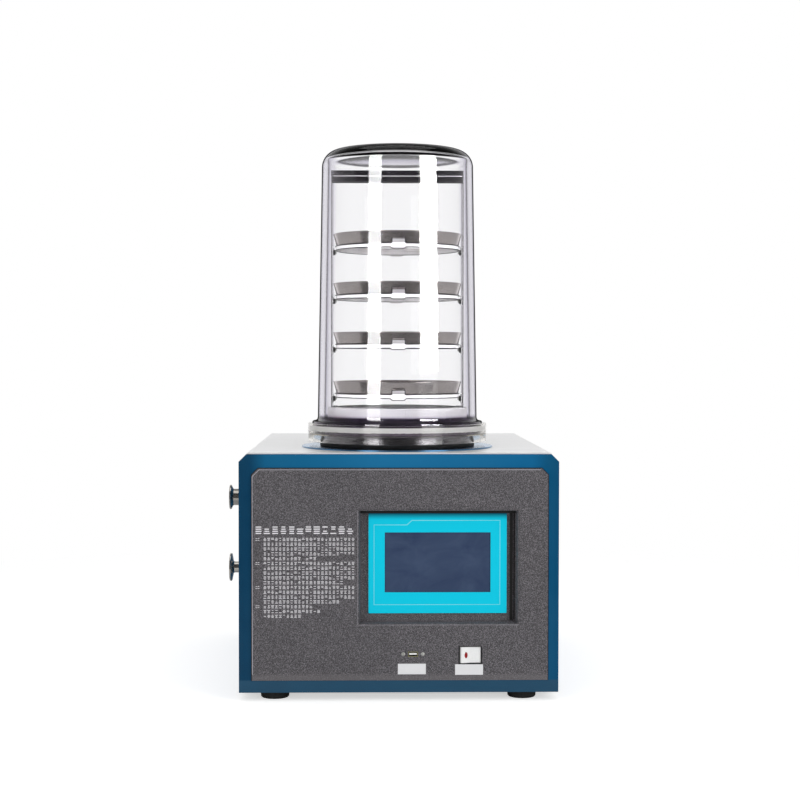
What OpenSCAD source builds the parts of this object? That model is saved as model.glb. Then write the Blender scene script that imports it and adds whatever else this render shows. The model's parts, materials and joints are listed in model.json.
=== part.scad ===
// Bench-top laboratory freeze dryer.
// A sheet-metal cabinet holds the refrigeration set and the cold trap. The trap's collar
// stands out of the cabinet's top, and a clear drying chamber rests over it on a seal ring,
// round a steel rack with four trays.
// +X is to the right, +Y to the rear, +Z up. The origin is the centre of the cabinet's
// footprint, at the level on which the feet stand. All sizes are in millimetres.

/* [Cabinet] */
// Width of the cabinet over its side panels
cab_w = 450; // [440:1:540]
// Depth of the cabinet from its front frame to its rear panel
cab_d = 550; // [458:1:660]
// Height of the cabinet without its feet
cab_h = 338; // [316:1:406]
// Thickness of the painted sheet metal
sheet_t = 1.5; // [1:0.1:2]
// Thickness of the steel top plate
top_t = 2; // [1.5:0.1:3]
// Width and height of the sloped fold along the top edges
edge_slope = 12.6; // [8:0.2:18]
// Clearance between sheet-metal parts that lie against each other
sheet_gap = 0.2; // [0.1:0.05:0.5]

/* [Feet] */
// Height of a rubber foot
foot_h = 12; // [8:0.5:20]
// Diameter of a foot where it meets the cabinet
foot_d = 42; // [30:1:50]
// Distance of a foot's centre from the cabinet's side
foot_side = 49; // [30:1:80]
// Distance of a foot's centre from the cabinet's front and rear
foot_end = 33; // [28:1:80]

/* [Front panel] */
// Width of the blue frame beside the panel
frame_side = 16.9; // [12:0.1:24]
// Height of the blue frame above the panel
frame_top = 22.1; // [17:0.1:30]
// Height of the blue frame below the panel
frame_low = 17.2; // [12:0.2:24]
// How far the panel sits right of the cabinet's middle
panel_shift = 1.4; // [-4:0.2:4]
// How far the panel stands out of the front frame
panel_t = 3; // [2:0.1:4]
// Size of the panel's cut upper corners
panel_corner = 9; // [4:0.5:14]
// Height of the sloped strip along the panel's lower edge
panel_lip = 8; // [4:0.5:12]

/* [Touch screen] */
// Centre of the screen window, right of the cabinet's centre
screen_x = 54.6; // [20:0.2:90]
// Centre of the screen, above the cabinet's lower edge
screen_z = 182.4; // [150:0.2:200]
// Width of the recess round the screen
recess_w = 223.6; // [200:0.2:240]
// Height of the recess
recess_h = 159.6; // [150:0.2:180]
// Depth from the cabinet's front to the recess floor
recess_deep = 13; // [8:0.5:18]
// Slope of the recess walls, measured across
recess_draft = 3.4; // [0.5:0.1:6]
// Width of the screen's coloured bezel
bezel_w = 195.2; // [180:0.2:210]
// Height of the bezel
bezel_h = 144; // [130:0.2:150]
// Thickness of the bezel
bezel_t = 4; // [2:0.2:6]
// Width of the visible display
lcd_w = 149.4; // [130:0.2:160]
// Height of the visible display
lcd_h = 84.8; // [75:0.2:92]
// Depth of the screen's housing behind the bezel
hmi_deep = 27; // [20:0.5:30]

/* [Panel fittings] */
// Centre of the data socket, right of the cabinet's centre
usb_x = 19.6; // [0:0.2:40]
// Height of the data socket above the cabinet's lower edge
usb_z = 54.6; // [45:0.2:70]
// Half the distance between the data socket's screws
usb_screw_x = 13.8; // [12:0.1:18]
// Centre of the mains switch, right of the cabinet's centre
switch_x = 100.3; // [70:0.2:150]
// Height of the mains switch above the cabinet's lower edge
switch_z = 53.4; // [45:0.2:70]
// Width of the mains switch's rocker
rocker_w = 28.6; // [20:0.2:32]
// Height of the rocker
rocker_h = 22.4; // [16:0.2:26]
// Turn of the rocker from one end stop to the other
rocker_turn = 16; // [8:1:20]
// Width of the two blank label plates
label_w = 39.4; // [25:0.2:50]
// Height of the label plates
label_h = 14.9; // [10:0.1:18]

/* [Cold trap] */
// Inside radius of the cold trap
trap_r = 100; // [83:1:108]
// Inside depth of the cold trap below its collar
trap_deep = 155; // [120:1:165]
// Wall of the trap
trap_wall = 1.5; // [1:0.1:2.5]
// Width of the collar's flat rim round the trap
collar_land = 13; // [11:0.5:16]
// Height of the collar's thick rim
collar_h = 10; // [6:0.5:14]
// Thickness of the foam round the trap
foam_wall = 17.3; // [10:0.1:24]
// Foam below the trap
foam_low = 17; // [12:1:25]
// Diameter of the evaporator tube wound round the trap
coil_d = 6.4; // [5:0.1:8]
// Turns of the evaporator tube
coil_turns = 7; // [2:1:7]

/* [Chamber seat] */
// How far the thin steel disc on the cabinet's top reaches beyond the seal ring
disc_edge = 9.2; // [4:0.2:16]
// Distance of the disc's edge behind the cabinet's front
disc_back = 13.7; // [6:0.1:40]
// Thickness of the disc
disc_t = 2; // [1.5:0.1:4]
// How far the black rubber pad reaches beyond the collar
pad_edge = 2.5; // [0:0.1:6]
// Thickness of the pad
pad_t = 6.8; // [4:0.2:10]
// Thickness of the seal ring's skirt
seal_t = 6; // [4:0.1:8]
// Height of the skirt
seal_h = 27.2; // [20:0.2:32]
// How far the skirt hangs below the collar's top
seal_drop = 10; // [5:0.5:14]
// Thickness of the seal's web between collar and chamber
seal_web = 3; // [2:0.2:5]

/* [Drying chamber] */
// How far the chamber's foot stands out beyond its wall
jar_foot_out = 8; // [5:0.1:10]
// Height of the foot
jar_foot_h = 17; // [10:0.5:22]
// Clearance between the rack's base ring and the chamber's wall
jar_gap = 7.8; // [5:0.1:12]
// How much the wall's radius shrinks towards the top
jar_taper = 6.2; // [2:0.1:7]
// Height of the chamber
jar_h = 426; // [416:1:512]
// Thickness of the chamber's wall
jar_wall = 7; // [5:0.5:8]
// Thickness of the chamber's top
jar_roof = 12; // [8:0.5:16]

/* [Rack and trays] */
// Distance of the base ring's outer face from the trap's bore
ring_seat = 4.2; // [3:0.1:6]
// Height of the base ring
ring_h = 41; // [30:0.5:50]
// Clearance between a tray's rim and the posts
post_gap = 2.3; // [1.5:0.1:6]
// Width of a post
post_w = 20; // [12:1:30]
// Sheet thickness of the rack
rack_t = 1.5; // [1:0.1:2]
// Height of the crossbar's face
bar_h = 17; // [12:0.5:24]
// Height of the crossbar's top above the base ring's top
bar_up = 351.4; // [330:0.1:360]
// Distance from one tray to the next
tray_pitch = 72.7; // [60:0.1:88]
// Height of the lowest tray's floor above the base ring's top
tray_up = 20; // [16:0.2:40]
// How far a tray's rim lies inside the base ring's outer face
tray_in = 9.2; // [8:0.2:14]
// How much a tray's radius shrinks from rim to floor
tray_flare = 3.5; // [1:0.1:6]
// Height of a tray
tray_h = 18.2; // [12:0.2:26]
// Wall of a tray
tray_wall = 0.8; // [0.6:0.1:1.5]

/* [Side ports] */
// Distance of the vacuum port behind the cabinet's front
vac_back = 365; // [320:1:438]
// Depth of the vacuum port below the cabinet's top
vac_down = 94.8; // [80:0.2:100]
// How far the vacuum port stands out of the side
vac_out = 44; // [20:1:60]
// Distance of the vent port behind the cabinet's front
vent_back = 70; // [64:1:84]
// Depth of the vent port below the trap's floor
vent_down = 32.1; // [28:0.1:44]
// How far the vent port stands out of the side
vent_out = 18; // [14:1:30]
// Diameter of both clamp flanges
flange_d = 40; // [30:1:50]
// Outside diameter of the vacuum tube
vac_d = 27; // [20:0.5:30]
// Outside diameter of the vent tube
vent_d = 16; // [10:0.5:20]
// Wall of both tubes
tube_wall = 1.5; // [1:0.1:2.5]

/* [Refrigeration] */
// Radius of the compressor's shell
comp_r = 62; // [50:1:66]
// Height of the compressor's shell
comp_h = 150; // [120:1:165]
// Width of the condenser
cond_w = 190; // [160:1:200]
// Height of the condenser
cond_h = 200; // [180:1:220]
// Depth of the condenser
cond_t = 38; // [30:1:45]
// Radius of the fan's blades
fan_r = 82; // [68:1:85]
// Number of fan blades
fan_blades = 5; // [4:1:9]
// Diameter of the refrigerant lines
line_d = 8; // [6:0.5:10]

/* [Hidden] */
eps = 0.01;
fine = 96;
steel = "silver";
paint = "#16608c";

// Levels and planes of the cabinet
front_y = -cab_d / 2;
rear_y = cab_d / 2;
low_z = foot_h;
high_z = foot_h + cab_h;
inner_w = cab_w - 2 * sheet_t;
pan_t = 2;
pan_top = low_z + pan_t;
pan_lip = 22;
frame_t = 2;
frame_flange = 14;
frame_lip = 8;
ledge = 16;

// Levels of the chamber's seat
panel_w = cab_w - 2 * frame_side;
panel_h = cab_h - frame_top - frame_low;
collar_r = trap_r + collar_land;
pad_r = collar_r + pad_edge;
ring_r = trap_r + ring_seat;
jar_low_r = ring_r + jar_gap + jar_wall;
jar_top_r = jar_low_r - jar_taper;
jar_foot_r = jar_low_r + jar_foot_out;
disc_z = high_z;
pad_z = disc_z + disc_t;
collar_z = pad_z + pad_t;
collar_top = collar_z + collar_h;
web_top = collar_top + seal_web;
seat_gap = 0.4;
trap_out = trap_r + trap_wall;
trap_low = collar_top - trap_deep;
neck_r = trap_out + 1;
seal_in = jar_foot_r + seat_gap;
seal_r = seal_in + seal_t;
disc_r = seal_r + disc_edge;
axis_y = front_y + disc_back + disc_r;
web_in = ring_r + 1.6;
coil_steps = 24;
coil_sides = 8;
coil_r = ceil(10 * (trap_out + coil_d / 2 + 0.1) / cos(180 / coil_steps)) / 10;
foam_in = coil_r + coil_d / 2 + 0.3;
foam_r = foam_in + foam_wall;
foam_bottom = trap_low - trap_wall - foam_low;
foam_top = high_z - top_t - 1;
coil_pitch = coil_d + 1.4;
coil_low_z = high_z - vac_down + vac_d / 2 + coil_d / 2 + 2;
coil_wound = min(coil_turns, floor((foam_top - 8 - coil_low_z) / coil_pitch - 0.5));
coil_end_z = coil_low_z + (coil_wound + 0.5) * coil_pitch;

// Levels of the rack
ring_top = collar_top + ring_h;
shelf_t = 1.2;
shelf_rim = 5.6;
tray_r = ring_r - tray_in;
tray_floor_r = tray_r - tray_flare;
post_x = tray_r + post_gap + rack_t;
shelf_r = tray_floor_r + 0.5;
shelf_dip = 2.2;
tab_w = 18.7;
tab_h = 6.6;
lug_w = 14;
lug_h = 14;
screw_drop = 8;
bar_top = ring_top + bar_up;
ring_flange = 11;
function tray_z(i) = ring_top + tray_up + (4 - i) * tray_pitch;

// Screws
m4_r = 2;
m3_r = 1.5;
hole_gap = 0.2;

// Side ports, in the cabinet's frame
vac_y = front_y + vac_back;
vac_level = high_z - vac_down;
vent_y = front_y + vent_back;
vent_level = trap_low - trap_wall - vent_down;
flange_t = 3.2;
vac_bend = 26;
vent_bend = 14;
vac_turn_x = -58;
vac_bore = vac_d - 2 * tube_wall;
vent_bore = vent_d - 2 * tube_wall;

// Refrigeration set
comp_x = -inner_w / 2 + comp_r + 9;
comp_y = rear_y - comp_r - 16;
comp_foot = 16;
comp_hole = comp_r - 14;
stud_r = 3;
comp_low = pan_top + comp_foot;
cond_x = inner_w / 2 - cond_w / 2 - 24;
cond_y = rear_y - sheet_t - 6 - cond_t / 2;
cond_z = pan_top + 10;
fan_z = cond_z + cond_h / 2;
shroud_deep = 34;
shroud_y = cond_y - cond_t / 2 - shroud_deep;
fan_hub_r = 19;
shaft_r = 4;
motor_r = 32;
motor_h = 40;
fan_y = shroud_y + 16;
cond_pitch = (cond_h - 32) / 7;
function cond_row(i) = cond_z + 16 + i * cond_pitch;
drier_x = cond_x - cond_w / 2 - 28;
drier_y = shroud_y + 2;
discharge_z = comp_low + 100;
suction_z = comp_low + 112;

// Fittings of the rear panel
inlet_x = comp_x - 20;
inlet_z = low_z + 232;
outlet_x = comp_x + 38;
fuse_x = comp_x + 8;
fuse_z = low_z + 282;
inlet_w = 28;
inlet_h = 21;
fuse_r = 6;

// ---------------------------------------------------------------- helpers

// An outline with two cut upper corners, standing on z = 0 and centred on x = 0
module cut_corner_outline(w, h, c) {
    polygon([[-w / 2, 0], [w / 2, 0], [w / 2, h - c], [w / 2 - c, h], [-w / 2 + c, h], [-w / 2, h - c]]);
}

// A 2D shape in x and z, made into a plate from y0 to y0 + t
module plate_y(y0, t) {
    translate([0, y0 + t, 0]) rotate([90, 0, 0]) linear_extrude(t) children();
}

// A box from its lowest corner, centred on x
module box_x(w, d, h) {
    translate([-w / 2, 0, 0]) cube([w, d, h]);
}

// A ring between two radii
module ring(r_out, r_in, h) {
    difference() {
        cylinder(r = r_out, h = h, $fn = fine);
        translate([0, 0, -1]) cylinder(r = r_in, h = h + 2, $fn = fine);
    }
}

// A slot with round ends, along x
module round_slot(len, h) {
    square([len - h, h], center = true);
    for (s = [-1, 1]) translate([s * (len - h) / 2, 0]) circle(d = h, $fn = 24);
}

// A rectangle with round corners, centred
module round_rect(w, h, r) {
    square([w - 2 * r, h], center = true);
    square([w, h - 2 * r], center = true);
    for (x = [-1, 1], y = [-1, 1]) translate([x * (w / 2 - r), y * (h / 2 - r)]) circle(r = r, $fn = 32);
}

// Pan-head screw along +Z, its head from z = 0 upwards and its shank below
module pan_screw(r, head_r, head_h, shank) {
    dome = head_r * 1.3;
    rotate_extrude($fn = 32) {
        translate([0, -shank]) square([r, shank + head_h / 2]);
        intersection() {
            square([head_r, head_h]);
            translate([0, head_h - dome]) circle(r = dome, $fn = 64);
        }
    }
}

function unit(v) = v / norm(v);

// One bend of a tube: from the corner p, coming along u and leaving along v
module elbow(p, u, v, r, bend) {
    w = cross(u, v);
    c = p - bend * u + bend * v;
    m = [[-v[0], u[0], w[0], c[0]], [-v[1], u[1], w[1], c[1]], [-v[2], u[2], w[2], c[2]], [0, 0, 0, 1]];
    multmatrix(m) rotate_extrude(angle = 90, $fn = 48) translate([bend, 0]) circle(r = r, $fn = 24);
}

// One straight stretch of a tube from a to b
module stretch(a, b, r) {
    d = b - a;
    u = unit(d);
    tilt = acos(u[2]);
    turn = atan2(u[1], u[0]);
    translate(a) rotate([0, tilt, turn]) cylinder(r = r, h = norm(d), $fn = 24);
}

// A round bar along a route of right-angled corners
module bar_route(pts, r, bend) {
    n = len(pts);
    for (i = [0:n - 2]) {
        u = unit(pts[i + 1] - pts[i]);
        a = i == 0 ? pts[i] : pts[i] + bend * u;
        b = i == n - 2 ? pts[i + 1] : pts[i + 1] - bend * u;
        stretch(a, b, r);
    }
    if (n > 2) for (i = [1:n - 2]) {
        elbow(pts[i], unit(pts[i] - pts[i - 1]), unit(pts[i + 1] - pts[i]), r, bend);
    }
}

// A hollow tube along the same kind of route
module tube_route(pts, d, bore, bend) {
    difference() {
        bar_route(pts, d / 2, bend);
        n = len(pts);
        u0 = unit(pts[1] - pts[0]);
        u1 = unit(pts[n - 1] - pts[n - 2]);
        first = [for (i = [0:n - 1]) i == 0 ? pts[0] - u0 : i == n - 1 ? pts[i] + u1 : pts[i]];
        bar_route(first, bore / 2, bend);
    }
}

// Cuts a bevel along one edge of a plate that lies in x and z. The edge runs from a to b,
// out points away from the plate, and the bevel takes wide off the face and deep off the edge.
module edge_bevel(a, b, out, wide, deep, y0) {
    mid = (a + b) / 2;
    along = cross(out, [0, 1, 0]);
    m = [[out[0], 0, along[0], mid[0]], [out[1], 1, along[1], y0], [out[2], 0, along[2], mid[1]], [0, 0, 0, 1]];
    multmatrix(m) translate([0, 0, -norm(b - a) / 2 - 2]) linear_extrude(norm(b - a) + 4)
        polygon([[-wide - wide / deep, -1], [1, deep + deep / wide], [1, -1]]);
}

// A pressed louvre: a rounded hood over a slot, standing out along +Y and open below
module louvre_hood(len, r, t) {
    translate([-len / 2, 0, 0]) rotate([90, 0, 90]) {
        linear_extrude(len) intersection() {
            difference() {
                circle(r = r, $fn = 48);
                circle(r = r - t, $fn = 48);
            }
            translate([-0.5, 0]) square(r + 1);
        }
        for (z = [0, len - t]) translate([0, 0, z]) linear_extrude(t) intersection() {
            circle(r = r, $fn = 48);
            translate([-0.5, 0]) square(r + 1);
        }
    }
}

// ---------------------------------------------------------------- cabinet

// Places its children at the four corners of a rectangle
module at_feet() {
    for (x = [-1, 1], y = [-1, 1])
        translate([x * (cab_w / 2 - foot_side), y * (cab_d / 2 - foot_end), 0]) children();
}

// Folded floor pan with upturned edges, feet holes and air slots
module base_pan() {
    w = inner_w - 2 * sheet_gap;
    d = cab_d - 2 * frame_t - 2 * sheet_gap;
    color("#9aa0a4") at_comp_feet() translate([0, 0, pan_top - 1]) cylinder(r = stud_r, h = comp_foot + 6, $fn = 24);
    color("#9aa0a4") difference() {
        translate([-w / 2, -d / 2, low_z]) cube([w, d, pan_lip]);
        translate([-w / 2 + pan_t, -d / 2 + pan_t, pan_top]) cube([w - 2 * pan_t, d - 2 * pan_t, pan_lip]);
        at_feet() translate([0, 0, low_z - 1]) cylinder(r = m4_r + hole_gap, h = pan_t + 2, $fn = 24);
        at_side_screws() rotate([0, 90, 0]) cylinder(r = m4_r + hole_gap, h = cab_w, center = true, $fn = 24);
        at_rear_screws() rotate([90, 0, 0]) cylinder(r = m4_r + hole_gap, h = 20, center = true, $fn = 24);
        for (i = [-3:3]) translate([comp_x + 4 + i * 14, axis_y + foam_r - 20, low_z - 1])
            rotate([0, 0, 90]) linear_extrude(pan_t + 2) round_slot(60, 6);
    }
}

// Tapered rubber feet with a recess for the screw's head
module feet() {
    color("#161616") at_feet() rotate_extrude($fn = 64) difference() {
        polygon([[0, 0], [foot_d / 2 - 2.4, 0], [foot_d / 2 - 1, 1.4], [foot_d / 2, foot_h], [0, foot_h]]);
        square([m4_r + hole_gap, foot_h + 1]);
        translate([0, -1]) square([6, foot_h - 3.5]);
    }
}

// Screws of the feet, each with its nut on the pan
module foot_screws() {
    seat = foot_h - 4.5;
    color(steel) at_feet() {
        translate([0, 0, seat]) mirror([0, 0, 1]) pan_screw(m4_r, 4, 2.6, pan_top - seat + 5);
        translate([0, 0, pan_top]) cylinder(r = 4, h = 3.2, $fn = 6);
    }
}

// Blue front frame: a face with a window, and a flange that the side panels screw to
module front_frame() {
    color(paint) {
        difference() {
            plate_y(front_y, frame_t) translate([0, low_z]) frame_outline(0);
            plate_y(front_y - 1, frame_t + 2) translate([panel_shift, low_z + frame_low + frame_lip])
                cut_corner_outline(panel_w - 2 * frame_lip, panel_h - 2 * frame_lip, panel_corner);
        }
        difference() {
            plate_y(front_y, frame_flange) translate([0, low_z]) frame_outline(sheet_t + sheet_gap);
            plate_y(front_y - 1, frame_flange + 2) translate([0, low_z]) frame_outline(2 * sheet_t + sheet_gap);
            translate([-cab_w / 2, front_y + frame_t, low_z - 1])
                cube([cab_w, frame_flange, pan_lip + 1 + sheet_gap]);
        }
    }
}

// The cabinet's section below the top plate, drawn in by an even margin
module frame_outline(m) {
    h = cab_h - top_t - sheet_gap;
    c = edge_slope - top_t;
    k = m * tan(22.5);
    polygon([[-cab_w / 2 + m, m], [cab_w / 2 - m, m], [cab_w / 2 - m, h - c - k], [cab_w / 2 - c - k, h - m],
        [-cab_w / 2 + c + k, h - m], [-cab_w / 2 + m, h - c - k]]);
}

// Side sheet with the sloped fold and a ledge under the top plate, for the right side
module side_sheet() {
    h = cab_h - top_t - sheet_gap;
    c = edge_slope - top_t;
    k = sheet_t * tan(22.5);
    x = cab_w / 2;
    long = cab_d - 2 * frame_t - 2 * sheet_gap;
    translate([0, long / 2, low_z]) rotate([90, 0, 0]) linear_extrude(long) polygon([
        [x, 0], [x, h - c], [x - c, h], [x - c - ledge, h], [x - c - ledge, h - sheet_t],
        [x - c - k, h - sheet_t], [x - sheet_t, h - c - k], [x - sheet_t, 0]]);
}

// Positions of the air slots in a side sheet, near the rear
module at_side_slots() {
    for (i = [0:7]) translate([0, rear_y - 120, low_z + 60 + i * 20]) children();
}

module side_slots() {
    at_side_slots() rotate([90, 0, 90]) linear_extrude(4 * sheet_t, center = true) round_slot(84, 6);
}

// Positions of the screws along the lower edge of a side
module at_side_screws() {
    for (y = [front_y + 40, 0, rear_y - 40]) translate([0, y, low_z + 12]) children();
}

module side_screw_holes() {
    at_side_screws() rotate([0, 90, 0]) cylinder(r = m4_r + hole_gap, h = 8, center = true, $fn = 24);
}

module right_side_panel() {
    color(paint) difference() {
        side_sheet();
        translate([cab_w / 2, 0, 0]) side_slots();
        translate([cab_w / 2, 0, 0]) side_screw_holes();
    }
}

module left_side_panel() {
    color(paint) difference() {
        mirror([1, 0, 0]) side_sheet();
        translate([-cab_w / 2, 0, 0]) side_slots();
        translate([-cab_w / 2, 0, 0]) side_screw_holes();
        translate([-cab_w / 2, vac_y, vac_level]) rotate([0, 90, 0])
            cylinder(d = vac_d + 1, h = 8, center = true, $fn = fine);
        translate([-cab_w / 2, vent_y, vent_level]) rotate([0, 90, 0])
            cylinder(d = vent_d + 1, h = 8, center = true, $fn = fine);
    }
}

// Positions of the rear louvres, in front of the condenser: two columns
louvre_len = 84;
louvre_rows = 10;
louvre_pitch = 19;
louvre_r = 6.5;
module at_rear_louvres() {
    for (sx = [-1, 1], i = [0:louvre_rows - 1])
        translate([cond_x + sx * (louvre_len / 2 + 5), rear_y, fan_z + (i - (louvre_rows - 1) / 2) * louvre_pitch])
            children();
}

// Positions of the screws round the rear panel
module at_rear_screws() {
    for (x = [-cab_w / 2 + 10, 0, cab_w / 2 - 10], z = [low_z + 14, high_z - 26])
        translate([x, rear_y, z]) children();
}

// Rear panel: face, flange, pressed louvres and the openings for the electrical fittings
module rear_panel() {
    color(paint) difference() {
        union() {
            difference() {
                union() {
                    plate_y(rear_y - frame_t, frame_t) translate([0, low_z]) frame_outline(0);
                    plate_y(rear_y - frame_flange, frame_flange) translate([0, low_z])
                        frame_outline(sheet_t + sheet_gap);
                }
                plate_y(rear_y - frame_flange - 1, frame_flange + 1 - frame_t) translate([0, low_z])
                    frame_outline(2 * sheet_t + sheet_gap);
                translate([-cab_w / 2, rear_y - frame_flange - 1, low_z - 1])
                    cube([cab_w, frame_flange + 1 - frame_t, pan_lip + 1 + sheet_gap]);
                at_rear_louvres() translate([-louvre_len / 2 + 1, -frame_t - 1, 0])
                    cube([louvre_len - 2, frame_t + 2, louvre_r - 1.1]);
            }
            at_rear_louvres() louvre_hood(louvre_len, louvre_r, 1);
        }
        at_rear_screws() rotate([90, 0, 0]) cylinder(r = m4_r + hole_gap, h = 8, center = true, $fn = 24);
        translate([inlet_x - inlet_w / 2 - hole_gap, rear_y - 3, inlet_z - inlet_h / 2 - hole_gap])
            cube([inlet_w + 2 * hole_gap, 6, inlet_h + 2 * hole_gap]);
        translate([outlet_x - inlet_w / 2 - hole_gap, rear_y - 3, inlet_z - inlet_h / 2 - hole_gap])
            cube([inlet_w + 2 * hole_gap, 6, inlet_h + 2 * hole_gap]);
        translate([fuse_x, rear_y, fuse_z]) rotate([90, 0, 0])
            cylinder(r = fuse_r + hole_gap, h = 8, center = true, $fn = 48);
    }
}

// Stainless top plate with sloped side edges and the opening for the trap's neck
module top_plate() {
    top_w = cab_w - 2 * edge_slope;
    color("#dfe2e4") difference() {
        translate([0, rear_y, 0]) rotate([90, 0, 0]) linear_extrude(cab_d) polygon([
            [-top_w / 2 - top_t, high_z - top_t], [top_w / 2 + top_t, high_z - top_t],
            [top_w / 2, high_z], [-top_w / 2, high_z]]);
        translate([0, axis_y, high_z - top_t - 1]) cylinder(r = neck_r, h = top_t + 2, $fn = fine);
    }
}

// Every screw of the casing: three along each side, six on the rear
module case_screws() {
    color(steel) {
        for (s = [-1, 1]) at_side_screws() translate([s * cab_w / 2, 0, 0]) rotate([0, s * 90, 0])
            pan_screw(m4_r, 3.8, 2.2, 7);
        at_rear_screws() rotate([-90, 0, 0]) pan_screw(m4_r, 3.8, 2.2, 8);
    }
}

// ---------------------------------------------------------------- front panel and its fittings

screen_level = low_z + screen_z;
usb_level = low_z + usb_z;
switch_level = low_z + switch_z;
panel_z = low_z + frame_low;
panel_y = front_y - panel_t;
recess_x = screen_x + 0.6;
recess_level = screen_level - 5.3;
recess_wall = 1.5;
floor_y = front_y + recess_deep;
hmi_w = bezel_w - 8;
hmi_h = bezel_h - 8;
usb_w = 14.2;
usb_h = 7.1;

// Grey panel with bevelled edges, the screen window and the holes of its fittings
module front_panel() {
    w = panel_w / 2;
    h = panel_h;
    c = panel_corner;
    b = 0.9;
    color("#5d5b5c") difference() {
        plate_y(panel_y, panel_t) translate([panel_shift, panel_z]) cut_corner_outline(panel_w, h, c);
        translate([panel_shift, 0, panel_z]) {
            edge_bevel([-w, 0], [w, 0], [0, 0, -1], panel_lip, panel_t * 0.75, panel_y);
            edge_bevel([w, 0], [w, h - c], [1, 0, 0], b, b, panel_y);
            edge_bevel([-w, 0], [-w, h - c], [-1, 0, 0], b, b, panel_y);
            edge_bevel([w - c, h], [c - w, h], [0, 0, 1], b, b, panel_y);
            edge_bevel([w, h - c], [w - c, h], [cos(45), 0, sin(45)], b, b, panel_y);
            edge_bevel([-w, h - c], [c - w, h], [-cos(45), 0, sin(45)], b, b, panel_y);
        }
        plate_y(panel_y - 1, panel_t + 2) {
            translate([recess_x, recess_level])
                square([recess_w + 2 * recess_wall + 2 * sheet_gap, recess_h + 2 * recess_wall + 2 * sheet_gap],
                    center = true);
            translate([usb_x, usb_level]) square([usb_w + 2 * hole_gap, usb_h + 2 * hole_gap], center = true);
            for (s = [-1, 1]) translate([usb_x + s * usb_screw_x, usb_level])
                circle(r = m3_r + hole_gap, $fn = 24);
            translate([switch_x, switch_level])
                square([cradle_w + 2 * hole_gap, cradle_h + 2 * hole_gap], center = true);
        }
    }
}

// Tray behind the window with sloping walls, a flange behind the panel and the screen's cut-out
module screen_recess() {
    rw = recess_w + 2 * recess_wall;
    rh = recess_h + 2 * recess_wall;
    d = recess_draft;
    e = recess_draft * 0.6;
    color("#4a494a") translate([recess_x, 0, recess_level]) {
        difference() {
            union() {
                hull() {
                    plate_y(panel_y + 0.3, 0.1) square([rw, rh], center = true);
                    plate_y(floor_y, recess_wall) square([rw - 2 * d, rh - 2 * e], center = true);
                }
                plate_y(front_y, 1.2) square([rw + 24, rh + 16], center = true);
            }
            hull() {
                plate_y(panel_y - 0.7, 0.1) square([recess_w, recess_h], center = true);
                plate_y(panel_y + 0.3, 0.1) square([recess_w, recess_h], center = true);
                plate_y(floor_y - 0.1, 0.1) square([recess_w - 2 * d, recess_h - 2 * e], center = true);
            }
            plate_y(floor_y - 1, recess_wall + 2) translate([screen_x - recess_x, screen_level - recess_level])
                square([hmi_w + 1, hmi_h + 1], center = true);
        }
    }
}

// Coloured bezel of the touch screen, hollow behind to hold the glass
module screen_bezel() {
    color("#0cc3dc") translate([screen_x, 0, screen_level]) difference() {
        plate_y(floor_y - bezel_t, bezel_t) round_rect(bezel_w, bezel_h, 1);
        plate_y(floor_y - bezel_t - 1, bezel_t + 2) square([lcd_w, lcd_h], center = true);
        plate_y(floor_y - bezel_t + 1.4, bezel_t) square([lcd_w + 12, lcd_h + 12], center = true);
    }
}

module lcd_glass() {
    color("#3a4660") translate([screen_x, 0, screen_level])
        plate_y(floor_y - bezel_t + 1.4, bezel_t - 1.4) square([lcd_w + 11.6, lcd_h + 11.6], center = true);
}

// Housing of the screen behind the recess, with cooling slots and a terminal block
module screen_housing() {
    color("#242628") translate([screen_x, 0, screen_level]) difference() {
        union() {
            plate_y(floor_y, hmi_deep - 6) round_rect(hmi_w, hmi_h, 3);
            plate_y(floor_y + hmi_deep - 6, 6) round_rect(hmi_w - 30, hmi_h - 24, 3);
        }
        for (i = [-5:5]) translate([i * 8, floor_y + hmi_deep, 34]) cube([3, 4, 22], center = true);
        translate([0, floor_y + hmi_deep - 3, -hmi_h / 2 + 8]) cube([90, 20, 12], center = true);
    }
}

// Data socket: a metal shell with its tongue, on a small carrier behind the panel
module usb_socket() {
    color("#b9bcbe") translate([usb_x, 0, usb_level]) {
        difference() {
            union() {
                plate_y(panel_y - 0.2, panel_t + 14) square([usb_w, usb_h], center = true);
                plate_y(front_y, 2) round_rect(2 * usb_screw_x + 9, 12, 2);
            }
            plate_y(panel_y - 1, 10) square([usb_w - 1.2, usb_h - 1.2], center = true);
            for (s = [-1, 1]) translate([s * usb_screw_x, front_y - 1, 0]) rotate([-90, 0, 0])
                cylinder(r = m3_r + hole_gap, h = 5, $fn = 24);
        }
        translate([-5.5, panel_y + 0.8, -0.6]) cube([11, 9, 2]);
    }
}

module usb_screws() {
    color(steel) for (s = [-1, 1]) translate([usb_x + s * usb_screw_x, panel_y, usb_level]) rotate([90, 0, 0])
        pan_screw(m3_r, 2.9, 1.8, 8);
}

// Blank label plates
module label_plate(x, top) {
    color("white") translate([x, 0, top - label_h / 2]) plate_y(panel_y - 0.8, 0.8) round_rect(label_w, label_h, 0.5);
}

module usb_label() {
    label_plate(usb_x - 1.6, usb_level - 13.4);
}

module switch_label() {
    label_plate(switch_x - 1.8, switch_level - 13.2);
}

// Rocker geometry: it pivots about an upright pin behind the panel
pin_r = 1.6;
pin_gap = 0.06;
pin_y = panel_y + 5;
rocker_face = 4.2;
rocker_back = 5;
rocker_arc = norm([rocker_w / 2, rocker_face + 0.8]);
cradle_in = 2 * rocker_arc + 0.6;
cradle_up = rocker_h + 0.8;
cradle_w = cradle_in + 0.4;
cradle_h = cradle_up + 0.4;
cradle_rim = 1;

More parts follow.
